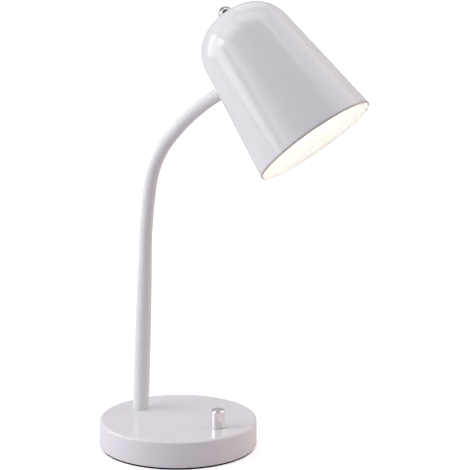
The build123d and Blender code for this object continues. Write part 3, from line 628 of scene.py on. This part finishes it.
def wallLine(inset, height, innerRadius):
    # the wall from a height over the mouth, up the cone and over the shoulder to a hole in the crown
    shoulder, crown = shadeForm["shoulderRadius"] - inset, shadeForm["crownRadius"] - inset
    start = onArc(shoulderCentre, shoulder, flare)
    points = divided([Vector((wallRadius(inset, height), height)), start], shadeForm["coneSpacing"])[:-1]
    steps = shadeForm["shoulderSteps"]
    for step in range(steps + 1):
        points.append(onArc(shoulderCentre, shoulder, flare + (shoulderStop - flare) * step / steps))
    last, steps = math.acos(innerRadius / crown), shadeForm["crownSteps"]
    for step in range(1, steps + 1):
        points.append(onArc(crownCentre, crown, shoulderStop + (last - shoulderStop) * step / steps))
    return points


def paintRimShade(shade):
    # painted shade: a darker line round the rim, outside and inside, where the rounded edge falls in shade
    rimShade = shade.data.attributes.new("paintedRimShade", "FLOAT", "POINT")
    inverse = shadePlace.inverted()
    full, none = shadeForm["paintedRimShade"]
    for index, vertex in enumerate(shade.data.vertices):
        spot = inverse @ vertex.co / mm
        if spot.xy.length > wallRadius(shadeForm["paintedRimShadeInset"], spot.z):
            rimShade.data[index].value = min(1.0, max(0.0, (none - spot.z) / (none - full)))
        elif spot.z < shadeForm["paintedRimShadeInsideTop"]:
            rimShade.data[index].value = shadeForm["paintedRimShadeInside"]


def buildShade():
    wall, depth, run = shadeForm["wall"], shadeForm["hemDepth"], shadeForm["rimRun"]
    outerRounding, innerRounding = shadeForm["rimRounding"]
    hemRounding, stepRounding = shadeForm["hemRounding"]
    thick = wall + shadeForm["hemExtra"]
    rim = roundedOutline([
        (wallRadius(0, run), run, 0),
        (wallRadius(0, 0), 0, outerRounding),
        (wallRadius(thick, 0), 0, innerRounding),
        (wallRadius(thick, depth), depth, hemRounding),
        (wallRadius(wall, depth), depth, stepRounding),
        (wallRadius(wall, depth + run), depth + run, 0),
    ], support=0.06)
    inner = wallLine(wall, depth + 2 * run, shadeForm["screwHoleRadius"])
    outer = wallLine(0, 2 * run, shadeForm["screwHoleRadius"])
    outline = rim + inner + outer[::-1]
    piece = turnedPiece("shadeBell", outline, shadePlace, shadeForm["around"], closed=True)
    point, front, up = neckFrame(neckLength)
    cutAway(piece, [(placeAt(point, up), shadeForm["neckHoleRadius"], shadeForm["drillLength"])])
    paintRimShade(piece)
    dress(piece, "head", "gloss_paint", "shade")


buildShade()


# Finial and its washer

finialForm = {
    "radius": 6.5,
    "height": 6.2,
    "skirt": 1.2,
    "edge": 0.18,
    "bore": 2.55,
    "boreDepth": 4.0,
    "boreLand": 1.0,
    "sideShare": 0.8,
    "washerRadius": 7.0,
    "washerThickness": 0.8,
    "washerEdges": (0.25, 0.12),
    "seatGap": 0.05,
    "capSteps": 16,
    "washerSteps": 6,
    "around": 72,
}


def buildFinial():
    base = shadeForm["length"] + finialForm["washerThickness"]
    radius, skirt, height = finialForm["radius"], finialForm["skirt"], finialForm["height"]
    capHeight = height - skirt
    capRadius = (radius ** 2 + capHeight ** 2) / (2 * capHeight)
    centre = Vector((0, base + height - capRadius))
    bore, boreTop = finialForm["bore"], base + finialForm["boreDepth"]
    outline = [Vector((0, boreTop)), Vector((bore, boreTop)), Vector((bore, base))]
    outline += roundedOutline([
        (bore + finialForm["boreLand"], base, 0), (radius, base, finialForm["edge"]),
        (radius, base + skirt * finialForm["sideShare"], 0)])
    capTop = Vector((0, base + height))
    outline += arcPoints(centre, Vector((radius, base + skirt)), capTop, finialForm["capSteps"])
    finial = turnedPiece("finialCap", outline, shadePlace, finialForm["around"])
    # the finial and its washer take the darker chrome, which is painted shade
    dress(finial, "head", "chrome", "finial", finish="finial_chrome_painted_shade")
    seat = shadeForm["crownRadius"] + finialForm["seatGap"]
    washerRadius, steps = finialForm["washerRadius"], finialForm["washerSteps"]
    topEdge, seatEdge = finialForm["washerEdges"]
    corners = [(bore, base, 0), (washerRadius, base, topEdge)]
    for step in range(steps + 1):   # the underside follows the crown
        spot = washerRadius + (bore - washerRadius) * step / steps
        corners.append((spot, crownCentre.y + math.sqrt(seat ** 2 - spot ** 2), 0 if step else seatEdge))
    ring = roundedOutline(corners, closed=True, support=0.04)
    washer = turnedPiece("finialSeat", ring, shadePlace, finialForm["around"], closed=True)
    dress(washer, "head", "chrome", "finial_washer", finish="finial_chrome_painted_shade")


buildFinial()
print("shade and finial built")


# Bulb

bulbForm = {
    "globeRadius": 22.5,
    "globeWall": 1.2,
    "globeSeat": 16.0,
    "collarNeckRadius": 8.6,
    "collarNeckLength": 4.0,
    "collarLength": 21.0,
    "flareSlope": 0.6,
    "edges": (0.6, 0.3),
    "land": 0.5,
    "spacing": 2.0,
    "flankSteps": 18,
    "globeSteps": 40,
    "around": 96,
}


def topInShade(node):
    # how high a node reaches over the shade's mouth, along the shade's axis
    inverse = shadePlace.inverted()
    return max((inverse @ vertex.co).z for vertex in cadNodes[node].data.vertices) / mm


def eased(first, last, firstPull, lastPull, t):
    # a smooth run from first to last that leaves and arrives with the two pulls
    return (first * (2 * t ** 3 - 3 * t ** 2 + 1) + firstPull * (t ** 3 - 2 * t ** 2 + t)
            + last * (3 * t ** 2 - 2 * t ** 3) + lastPull * (t ** 3 - t ** 2))


def buildBulb():
    top = topInShade("bulb_collar")
    neck = top - bulbForm["collarNeckLength"]
    seat = top - bulbForm["collarLength"]
    globe, wall, neckRadius = bulbForm["globeRadius"], bulbForm["globeWall"], bulbForm["collarNeckRadius"]
    seatRadius = math.sqrt(globe ** 2 - bulbForm["globeSeat"] ** 2)
    chord = bulbForm["collarLength"] - bulbForm["collarNeckLength"]
    arrive = Vector((bulbForm["flareSlope"], -1)).normalized() * chord
    steps, around = bulbForm["flankSteps"], bulbForm["around"]
    first, last, leave = Vector((neckRadius, neck)), Vector((seatRadius, seat)), Vector((0, -chord))
    flank = [eased(first, last, leave, arrive, step / steps) for step in range(steps + 1)]
    topEdge, seatEdge = bulbForm["edges"]
    land = neck + bulbForm["land"]
    lead = roundedOutline([(0, top, 0), (neckRadius, top, topEdge), (neckRadius, land, 0)])
    foot = roundedOutline([(*flank[-2], 0), (*flank[-1], seatEdge), (0, seat, 0)], support=0.05)
    outline = divided(lead, bulbForm["spacing"]) + flank[:-1] + foot[1:]
    collar = turnedPiece("bulbBody", outline, shadePlace, around)
    dress(collar, "head", "white_plastic", "bulb_collar")
    centre = Vector((0, seat - bulbForm["globeSeat"]))
    innerRadius = math.sqrt((globe - wall) ** 2 - bulbForm["globeSeat"] ** 2)
    steps = bulbForm["globeSteps"]
    outer = arcPoints(centre, Vector((seatRadius, seat)), centre - Vector((0, globe)), steps)
    inner = arcPoints(centre, Vector((innerRadius, seat)), centre - Vector((0, globe - wall)), steps)
    diffuser = turnedPiece("bulbDiffuser", inner[::-1] + outer, shadePlace, around)
    dress(diffuser, "head", "bulb_diffuser", "bulb_globe")


buildBulb()
print("bulb built")


# Base shell, foot pad and cable gland

baseForm = {
    "radius": 75.0,
    "bottom": 2.0,
    "top": 27.1,
    "wall": 1.0,
    "edge": 2.5,
    "stemHole": (-46.8, 5.2),
    "bushHole": (48.7, 3.7),
    "glandHoleRadius": 4.4,
    "glandHeight": 8.65,
    "drillLength": 6.0,
    "footEdges": (0.2, 0.3),
    "footTop": 5.0,      # the foot's rim has an outline of its own, up to here
    "sideBottom": 6.0,
    "spacing": 6.0,
    "around": 208,
}


def buildBaseShell():
    radius, wall, edge = baseForm["radius"], baseForm["wall"], baseForm["edge"]
    bottom, top, footTop, side = (baseForm[key] for key in ("bottom", "top", "footTop", "sideBottom"))
    inside, ceiling, spacing = radius - wall, top - wall, baseForm["spacing"]
    inner = roundedOutline([(0, ceiling, 0), (inside, ceiling, edge - wall), (inside, side, 0)], steps=8)
    innerEdge, outerEdge = baseForm["footEdges"]
    foot = roundedOutline([
        (inside, footTop, 0), (inside, bottom, innerEdge),
        (radius, bottom, outerEdge), (radius, footTop, 0),
    ], support=0.1)
    outer = roundedOutline([(radius, side, 0), (radius, top, edge), (0, top, 0)], steps=12)
    outline = divided(inner, spacing) + foot + divided(outer, spacing)
    shell = turnedPiece("baseCover", outline, Matrix.Identity(4), baseForm["around"])
    holes = []
    for x, holeRadius in (baseForm["stemHole"], baseForm["bushHole"]):
        holes.append((placeAt((x, 0, top), (0, 0, 1)), holeRadius, baseForm["drillLength"]))
    gland = placeAt((-radius, 0, baseForm["glandHeight"]), (1, 0, 0))
    holes.append((gland, baseForm["glandHoleRadius"], baseForm["drillLength"]))
    cutAway(shell, holes)
    dress(shell, "base", "gloss_paint", "base_shell", finish="base_gloss_paint_warm_light")


buildBaseShell()

padForm = {
    "radius": 73.8,
    "thickness": 2.0,
    "edge": 0.2,
    "holeRadius": 3.2,
    "holeCircle": 55.0,
    "holeAngles": (90.0, 210.0, 330.0),
    "drillLength": 6.0,
    "waviness": 0.12,
    "waveScale": 90.0,
    "wavyWidth": 1.0,
    "spacing": 5.0,
    "around": 224,
}


def buildFootPad():
    radius, thick, edge = padForm["radius"], padForm["thickness"], padForm["edge"]
    outline = roundedOutline([(0, 0, 0), (radius, 0, edge), (radius, thick, edge), (0, thick, 0)], steps=4)
    outline = divided(outline, padForm["spacing"])
    pad = turnedPiece("footPad", outline, Matrix.Identity(4), padForm["around"])
    holes = []
    for angle in padForm["holeAngles"]:
        turn = math.radians(angle)
        spot = (padForm["holeCircle"] * math.cos(turn), padForm["holeCircle"] * math.sin(turn), thick / 2)
        holes.append((placeAt(spot, (0, 0, 1)), padForm["holeRadius"], padForm["drillLength"]))
    cutAway(pad, holes)
    for vertex in pad.data.vertices:
        reach = vertex.co.xy.length
        if reach > (radius - padForm["wavyWidth"]) * mm:   # the foam's cut edge wanders inward a little
            wander = (noise.noise(vertex.co * padForm["waveScale"]) - 1.0) * padForm["waviness"] * mm / 2
            vertex.co.xy *= 1 + wander / reach
    dress(pad, "base", "pad_foam", "foot_pad")


buildFootPad()

glandForm = {
    "bore": 3.3,
    "bodyRadius": 4.2,
    "flangeRadius": 5.1,
    "flange": 1.6,
    "snap": 1.4,
    "mouthEdge": 0.5,
    "flangeEdges": (0.15, 0.1),
    "innerEdges": (0.4, 0.3),
    "seatGap": 0.05,
    "around": 72,
}


def buildGland():
    inside = baseForm["radius"] - baseForm["wall"]
    face = -math.sqrt(inside ** 2 - glandForm["flangeRadius"] ** 2) + glandForm["seatGap"]
    mouth = -baseForm["radius"] - glandForm["flange"]
    length = face + glandForm["snap"] - mouth
    bore, body, rim, flange, snap = (
        glandForm[key] for key in ("bore", "bodyRadius", "flangeRadius", "flange", "snap"))
    edge, crease = glandForm["flangeEdges"]
    snapEdge, boreEdge = glandForm["innerEdges"]
    outline = roundedOutline([
        (bore, 0, glandForm["mouthEdge"]), (rim, 0, flange / 2),
        (rim, flange, edge), (body, flange, crease),
        (body, length - snap, crease), (rim, length - snap, edge),
        (rim, length, snapEdge), (bore, length, boreEdge),
    ], closed=True, support=0.05)
    place = placeAt((mouth, 0, baseForm["glandHeight"]), (1, 0, 0))
    gland = turnedPiece("cordBush", outline, place, glandForm["around"], closed=True)
    dress(gland, "base", "gland_plastic", "cable_gland")


buildGland()
print("base, pad and gland built")


# Dimmer knob

knobForm = {
    "place": 48.7,
    "radius": 6.65,
    "bottom": 27.4,
    "height": 17.0,
    "chamfer": 0.8,
    "grooveDrop": 2.2,
    "grooveWidth": 0.65,
    "grooveDepth": 0.4,
    "recess": (5.546, 33.2),
    "bore": (4.65, 42.4),
    "bottomEdges": (0.1, 0.2),
    "grooveEdges": (0.06, 0.05),
    "chamferEdge": 0.15,
    "topCentre": 0.8,
    "spacing": 2.5,
    "around": 96,
}


def buildKnob():
    radius, bottom, chamfer = knobForm["radius"], knobForm["bottom"], knobForm["chamfer"]
    top = bottom + knobForm["height"]
    groove = top - knobForm["grooveDrop"]
    deep, wide = radius - knobForm["grooveDepth"], knobForm["grooveWidth"]
    recessRadius, recessTop = knobForm["recess"]
    shaftRadius, shaftTop = knobForm["bore"]
    inEdge, outEdge = knobForm["bottomEdges"]
    lip, deepEdge = knobForm["grooveEdges"]
    topEdge = knobForm["chamferEdge"]
    outline = roundedOutline([
        (0, shaftTop, 0), (shaftRadius, shaftTop, 0),
        (shaftRadius, recessTop, 0), (recessRadius, recessTop, 0),
        (recessRadius, bottom, inEdge), (radius, bottom, outEdge),
        (radius, groove, lip), (deep, groove, deepEdge),
        (deep, groove + wide, deepEdge), (radius, groove + wide, lip),
        (radius, top - chamfer, topEdge), (radius - chamfer, top, topEdge),
        (knobForm["topCentre"], top, 0), (0, top, 0),
    ], steps=4, support=0.03)
    place = placeAt((knobForm["place"], 0, 0), (0, 0, 1))
    knob = turnedPiece("knobShell", divided(outline, knobForm["spacing"]), place, knobForm["around"])
    dress(knob, "knob", "chrome", "dimmer_knob")


buildKnob()
print("knob built")


# Neck sleeve, in five lengths that meet between the bends

sleeveForm = {
    "radii": [(-2.0, 7.8), (85.0, 7.5), (128.0, 7.0), (165.0, 6.3)],
    "bore": 4.6,
    "relief": 1.2,
    "reliefMargin": 3.0,
    "footRounding": 0.5,
    "lipRounding": 0.4,
    "lipGap": 0.05,
    "lipSearch": 6.0,
    "lipHalvings": 30,
    "footSeat": (6.2, 9.2),
    "topSeat": (5.45, 9.2),
    "crease": 50.0,
    "spacing": 1.5,
    "boreSpacing": 3.0,
    "jointRings": (0.2, 1.2),   # how far the first rings are from where two lengths meet
    "endRings": (1.8, 2.2),     # how far the first rings are from the foot and from the shade
    "boreEnd": 12.0,
    "edgeSteps": 5,
    "around": 60,
}
# each length: name, the bodies it joins, start, stop, its bend's middle, half the stretch that bends
sleeveLengths = [
    ("foot", "base", "neck_low", 0.0, 85.0, 50.0, 30.0),
    ("low", "neck_low", "neck_middle", 85.0, 165.0, 120.0, 33.0),
    ("middle", "neck_middle", "neck_crook", 165.0, 236.0, 210.0, 24.0),
    ("crook", "neck_crook", "neck_reach", 236.0, 290.0, 262.0, 24.0),
    ("reach", "neck_reach", "head", 290.0, 352.8, 318.0, 24.0),
]


def sleeveRadius(distance):
    # runs smoothly through the radii: thickest at the foot, even from the first bend on
    marks = sleeveForm["radii"]
    if distance >= marks[-1][0]:
        return marks[-1][1]
    slopes = [0.0]
    for before, after in zip(marks, marks[2:]):
        slopes.append((after[1] - before[1]) / (after[0] - before[0]))
    slopes.append(0.0)
    index = max(spot for spot in range(len(marks) - 1) if spot == 0 or marks[spot][0] <= distance)
    (low, first), (high, last) = marks[index], marks[index + 1]
    span = high - low
    t = (distance - low) / span
    return eased(first, last, slopes[index] * span, slopes[index + 1] * span, t)


def boreRadius(distance):
    # the bore opens out at each bend, so that the core stays inside it when the neck moves
    radius = sleeveForm["bore"]
    for *ends, middle, half in sleeveLengths:
        reach = abs(distance - middle) / (half + sleeveForm["reliefMargin"])
        if reach < 1:
            radius += sleeveForm["relief"] * (1 - reach ** 2) ** 2
    return radius


def turnsOfRing():
    return [2 * math.pi * step / sleeveForm["around"] for step in range(sleeveForm["around"])]


def spokeAt(front, turn):
    return front * math.cos(turn) + sideways * math.sin(turn)


def ringOnNeck(distance, radius):
    # a ring of points round the centreline; the distance may depend on the angle round it
    ring = []
    for turn in turnsOfRing():
        point, front, up = neckFrame(distance(turn) if callable(distance) else distance)
        ring.append(point + spokeAt(front, turn) * radius)
    return ring


def spaced(start, stop, spacing):
    count = max(1, math.ceil((stop - start) / spacing))
    return [start + (stop - start) * step / count for step in range(count + 1)]


def edgeAngles():
    steps = sleeveForm["edgeSteps"]
    return [math.pi / 2 * step / steps for step in range(steps + 1)]


def footRings():
    # the outside rings where the sleeve stands on the base: cut along the base's top, with a rounded edge
    lean = math.tan(math.radians(neckLine["lean"]))
    rounding, radius = sleeveForm["footRounding"], sleeveRadius(0.0)
    rings = []
    for angle in edgeAngles():
        spot = radius - rounding * (1 - math.sin(angle))
        rise = rounding * (1 - math.cos(angle))
        rings.append(ringOnNeck(lambda turn: spot * math.cos(turn) * lean + rise, spot))
    return rings


def footBore():
    # the bore's rings at the foot, down into the round seat of the ferrule
    lean = math.radians(neckLine["lean"])
    seatRadius, seatHeight = sleeveForm["footSeat"]
    bore = sleeveForm["bore"]

    def toSeat(turn):
        return (seatHeight + bore * math.cos(turn) * math.sin(lean)) / math.cos(lean)

    rings = [ringOnNeck(toSeat, bore)]
    for height in (seatHeight, 0.0):
        centre = Vector((*neckLine["foot"], neckLine["footHeight"] + height))
        rings.append([centre + spokeAt(forward, turn) * seatRadius for turn in turnsOfRing()])
    return rings


def meetsShade(radius):
    # how far along the neck each side of the sleeve gets to a hair off the shade's wall, found by halving
    inverse = shadePlace.inverted()

    def distance(turn):
        low, high = neckLength - sleeveForm["lipSearch"], neckLength + sleeveForm["lipSearch"]
        for halving in range(sleeveForm["lipHalvings"]):
            middle = (low + high) / 2
            point, front, up = neckFrame(middle)
            spot = inverse @ ((point + spokeAt(front, turn) * radius) * mm) / mm
            if spot.xy.length > wallRadius(-sleeveForm["lipGap"], spot.z):
                low = middle
            else:
                high = middle
        return low
    return distance


def lipRings():
    # the outside rings where the sleeve meets the shade, shaped to its wall, with a rounded lip
    rounding, radius = sleeveForm["lipRounding"], sleeveForm["radii"][-1][1]
    rings = []
    for angle in edgeAngles():
        spot = radius - rounding * (1 - math.cos(angle))
        back = rounding * (1 - math.sin(angle))
        reach = meetsShade(spot)
        rings.append(ringOnNeck(lambda turn: reach(turn) - back, spot))
    return rings


def topBore():
    # the bore's rings at the shade, out of the round seat of the ferrule
    seatRadius, seatLength = sleeveForm["topSeat"]
    floor = neckLength - seatLength
    return [ringOnNeck(meetsShade(seatRadius), seatRadius), ringOnNeck(floor, seatRadius),
            ringOnNeck(floor, sleeveForm["bore"])]


def ringedPiece(name, rings):
    around = sleeveForm["around"]
    points = [point * mm for ring in rings for point in ring]
    faces = []
    for index in range(len(rings)):
        low, high = index * around, (index + 1) % len(rings) * around
        for step in range(around):
            turn = (step + 1) % around
            faces.append((low + step, low + turn, high + turn, high + step))
    return linkObject(name, meshFrom(name, points, faces, sleeveForm["crease"]))


def buildSleeve(name, first, second, start, stop, middle, half):
    lowest, last = name == "foot", name == "reach"
    (near, far), (footEnd, lipEnd) = sleeveForm["jointRings"], sleeveForm["endRings"]
    low, high = footEnd if lowest else start + far, stop - (lipEnd if last else far)
    outside = [] if lowest else [start, start + near]
    outside += spaced(low, high, sleeveForm["spacing"])
    outside += [] if last else [stop - near, stop]
    boreEnd = sleeveForm["boreEnd"]
    low, high = boreEnd if lowest else start, stop - boreEnd if last else stop
    inside = spaced(low, high, sleeveForm["boreSpacing"])[::-1]
    rings = footRings() if lowest else []
    rings += [ringOnNeck(spot, sleeveRadius(spot)) for spot in outside]
    rings += lipRings() + topBore() if last else []
    rings += [ringOnNeck(spot, boreRadius(spot)) for spot in inside]
    rings += footBore() if lowest else []
    sleeve = ringedPiece("sleeve" + name.capitalize(), rings)
    kept = sleeve.data.attributes.new("restPlace", "FLOAT_VECTOR", "POINT")
    kept.data.foreach_set("vector", [value for vertex in sleeve.data.vertices for value in vertex.co])
    dress(sleeve, None, "sleeve", "neck_sleeve_" + name)
    low, high = neckFrame(middle - half)[0] * mm, neckFrame(middle + half)[0] * mm
    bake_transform(sleeve)


for sleeveLength in sleeveLengths:
    buildSleeve(*sleeveLength)
print("neck sleeve built:", len(sleeveLengths), "lengths")


# Camera, matched to the photograph: lengths in millimetres, the lens in the photograph's pixels

cameraView = {
    "azimuth": 37.865,
    "elevation": 13.011,
    "distance": 2000.0,
    "sensorWidth": 36.0,
    "focalPixels": 2136.5,
    "imagePixels": 470,
    "aimHeight": 220.0,
    "aimRight": 54.268,
    "aimUp": -13.561,
}
azimuth = math.radians(cameraView["azimuth"])
elevation = math.radians(cameraView["elevation"])
toFront = Vector((math.sin(azimuth), -math.cos(azimuth), 0))
toRight = Vector((math.cos(azimuth), math.sin(azimuth), 0))
toCamera = toFront * math.cos(elevation) + Vector((0, 0, math.sin(elevation)))


def buildCamera():
    up = toCamera.cross(toRight)
    aim = Vector((0, 0, cameraView["aimHeight"])) + toRight * cameraView["aimRight"]
    aim += up * cameraView["aimUp"]
    lens = bpy.data.cameras.new("camera")
    lens.sensor_width = cameraView["sensorWidth"]
    lens.lens = cameraView["focalPixels"] * lens.sensor_width / cameraView["imagePixels"]
    camera = linkObject("camera", lens)
    camera.location = (aim + toCamera * cameraView["distance"]) * mm
    camera.rotation_mode = "QUATERNION"
    camera.rotation_quaternion = Matrix((toRight, up, toCamera)).transposed().to_quaternion()
    bpy.context.scene.camera = camera


buildCamera()
bpy.context.scene.view_settings.view_transform = "Standard"


# Floor, backdrop and lights, in metres

studio = {
    "floorReach": 40.0,
    "floorColour": (0.625, 0.56, 0.61),
    "floorLift": 0.62,
    "floorFade": (0.3, 1.2),
    "floorInGloss": 0.3,
    "white": (1.0, 1.0, 1.0),
    "ambient": (0.37, 0.365, 0.37),
    "backdrop": (0.5, 0.48, 0.51),
    "room": (0.05, 0.05, 0.05),
    "roomEdge": (0.1, 0.6),
    "lampAim": (0.0, 0.0, 0.2),
}


def emptyTree(owner):
    owner.use_nodes = True
    owner.node_tree.nodes.clear()
    return owner.node_tree


def seenDirectly(tree, inGloss=1.0):
    # 1 for what the camera sees straight, and a share of it in gloss, metal and glass
    rays = newNode(tree, "LightPath").outputs
    mirrors = {0: rays["Is Glossy Ray"], 1: rays["Is Transmission Ray"]}
    mirrored = newNode(tree, "Math", mirrors, operation="MAXIMUM").outputs[0]
    sockets = {0: mirrored, 1: inGloss, 2: rays["Is Camera Ray"]}
    return newNode(tree, "Math", sockets, operation="MULTIPLY_ADD").outputs[0]


def chooseShader(tree, factor, first, second):
    return newNode(tree, "MixShader", {0: factor, 1: first, 2: second}).outputs[0]


def buildFloor():
    reach = studio["floorReach"]
    corners = [(-reach, -reach, 0), (reach, -reach, 0), (reach, reach, 0), (-reach, reach, 0)]
    floor = linkObject("floor", meshFrom("floor", corners, [(0, 1, 2, 3)]))
    material = bpy.data.materials.new("paleFloor")
    tree = emptyTree(material)
    matt = newNode(tree, "BsdfDiffuse", {"Color": studio["floorColour"]}).outputs[0]
    away = newNode(tree, "VectorMath", {0: onSurface(tree)}, operation="LENGTH").outputs["Value"]
    lift = spread(tree, away, studio["floorLift"], 1.0, *studio["floorFade"])
    lifted = newNode(tree, "Emission", {"Strength": lift}).outputs[0]
    both = newNode(tree, "AddShader", {0: matt, 1: lifted}).outputs[0]
    shown = chooseShader(tree, seenDirectly(tree, studio["floorInGloss"]), matt, both)
    newNode(tree, "OutputMaterial", {"Surface": shown})
    floor.data.materials.append(material)


def buildWorld():
    # white to the camera; gloss and metal see a grey backdrop, and a near-black room on the camera's side
    world = bpy.data.worlds.new("studio")
    bpy.context.scene.world = world
    tree = emptyTree(world)
    white, ambient, backdrop, room = (
        newNode(tree, "Background", {"Color": studio[key]}).outputs[0]
        for key in ("white", "ambient", "backdrop", "room"))
    sockets = {0: newNode(tree, "TexCoord").outputs["Generated"], 1: tuple(toFront)}
    facing = newNode(tree, "VectorMath", sockets, operation="DOT_PRODUCT").outputs["Value"]
    inFront = spread(tree, facing, 0.0, 1.0, *studio["roomEdge"])
    unseen = chooseShader(tree, seenDirectly(tree), ambient, chooseShader(tree, inFront, backdrop, room))
    straight = newNode(tree, "LightPath").outputs["Is Camera Ray"]
    newNode(tree, "OutputWorld", {"Surface": chooseShader(tree, straight, unseen, white)})


# each softbox: degrees round from the camera (minus is left) and up, metres away, wide, tall, watts, tint
softboxes = {
    "keyBox": (-93.0, 12.0, 1.4, 1.3, 0.9, 9.4, (0.98, 1.0, 0.99)),
    "sideEdgeBox": (-51.0, 12.0, 1.4, 0.245, 0.9, 0.8, (0.93, 0.98, 1.0)),
    "sideFadeBox": (-41.0, 12.0, 1.4, 0.245, 0.9, 0.3, (0.88, 0.95, 1.0)),
    "stripBox": (-66.0, 13.0, 1.4, 0.06, 0.85, 0.2, (1.0, 1.0, 1.0)),
    "sideTopBox": (-70.0, 23.0, 1.4, 0.7, 0.3, 1.6, (0.98, 1.0, 0.99)),
    "keyHighBox": (-71.0, 48.0, 1.4, 0.84, 0.7, 2.8, (0.97, 1.0, 0.98)),
    "warmBox": (90.0, 12.0, 1.4, 0.72, 0.9, 1.6, (1.0, 0.76, 0.5)),
    "fillBox": (120.0, 12.0, 1.4, 0.72, 0.9, 2.0, (1.0, 0.86, 0.72)),
    "lowBox": (106.0, -1.0, 1.2, 1.1, 0.3, 1.3, (1.0, 0.72, 0.4)),
    "fillHighBox": (88.0, 48.0, 1.4, 1.9, 0.7, 3.6, (0.98, 0.96, 1.0)),
    "backHighBox": (180.0, 48.0, 1.4, 0.7, 0.7, 1.0, (1.0, 0.88, 0.87)),
    "topBox": (90.0, 86.0, 1.4, 0.6, 1.2, 3.7, (0.98, 0.93, 1.0)),
}


def buildSoftboxes():
    centre = Vector(studio["lampAim"])
    for name, (turn, rise, distance, wide, tall, power, colour) in softboxes.items():
        lamp = bpy.data.lights.new(name, "AREA")
        lamp.shape = "RECTANGLE"
        lamp.size = wide
        lamp.size_y = tall
        lamp.energy = power
        lamp.color = colour
        holder = linkObject(name, lamp)
        turn, rise = math.radians(turn), math.radians(rise)
        level = toFront * math.cos(turn) + toRight * math.sin(turn)
        place = centre + (level * math.cos(rise) + Vector((0, 0, math.sin(rise)))) * distance
        holder.location = place
        holder.rotation_mode = "QUATERNION"
        holder.rotation_quaternion = (centre - place).to_track_quat("-Z", "Y")
        holder.visible_camera = False   # so that no other view looks into a lamp


buildFloor()
buildWorld()
buildSoftboxes()
print("camera and studio built")
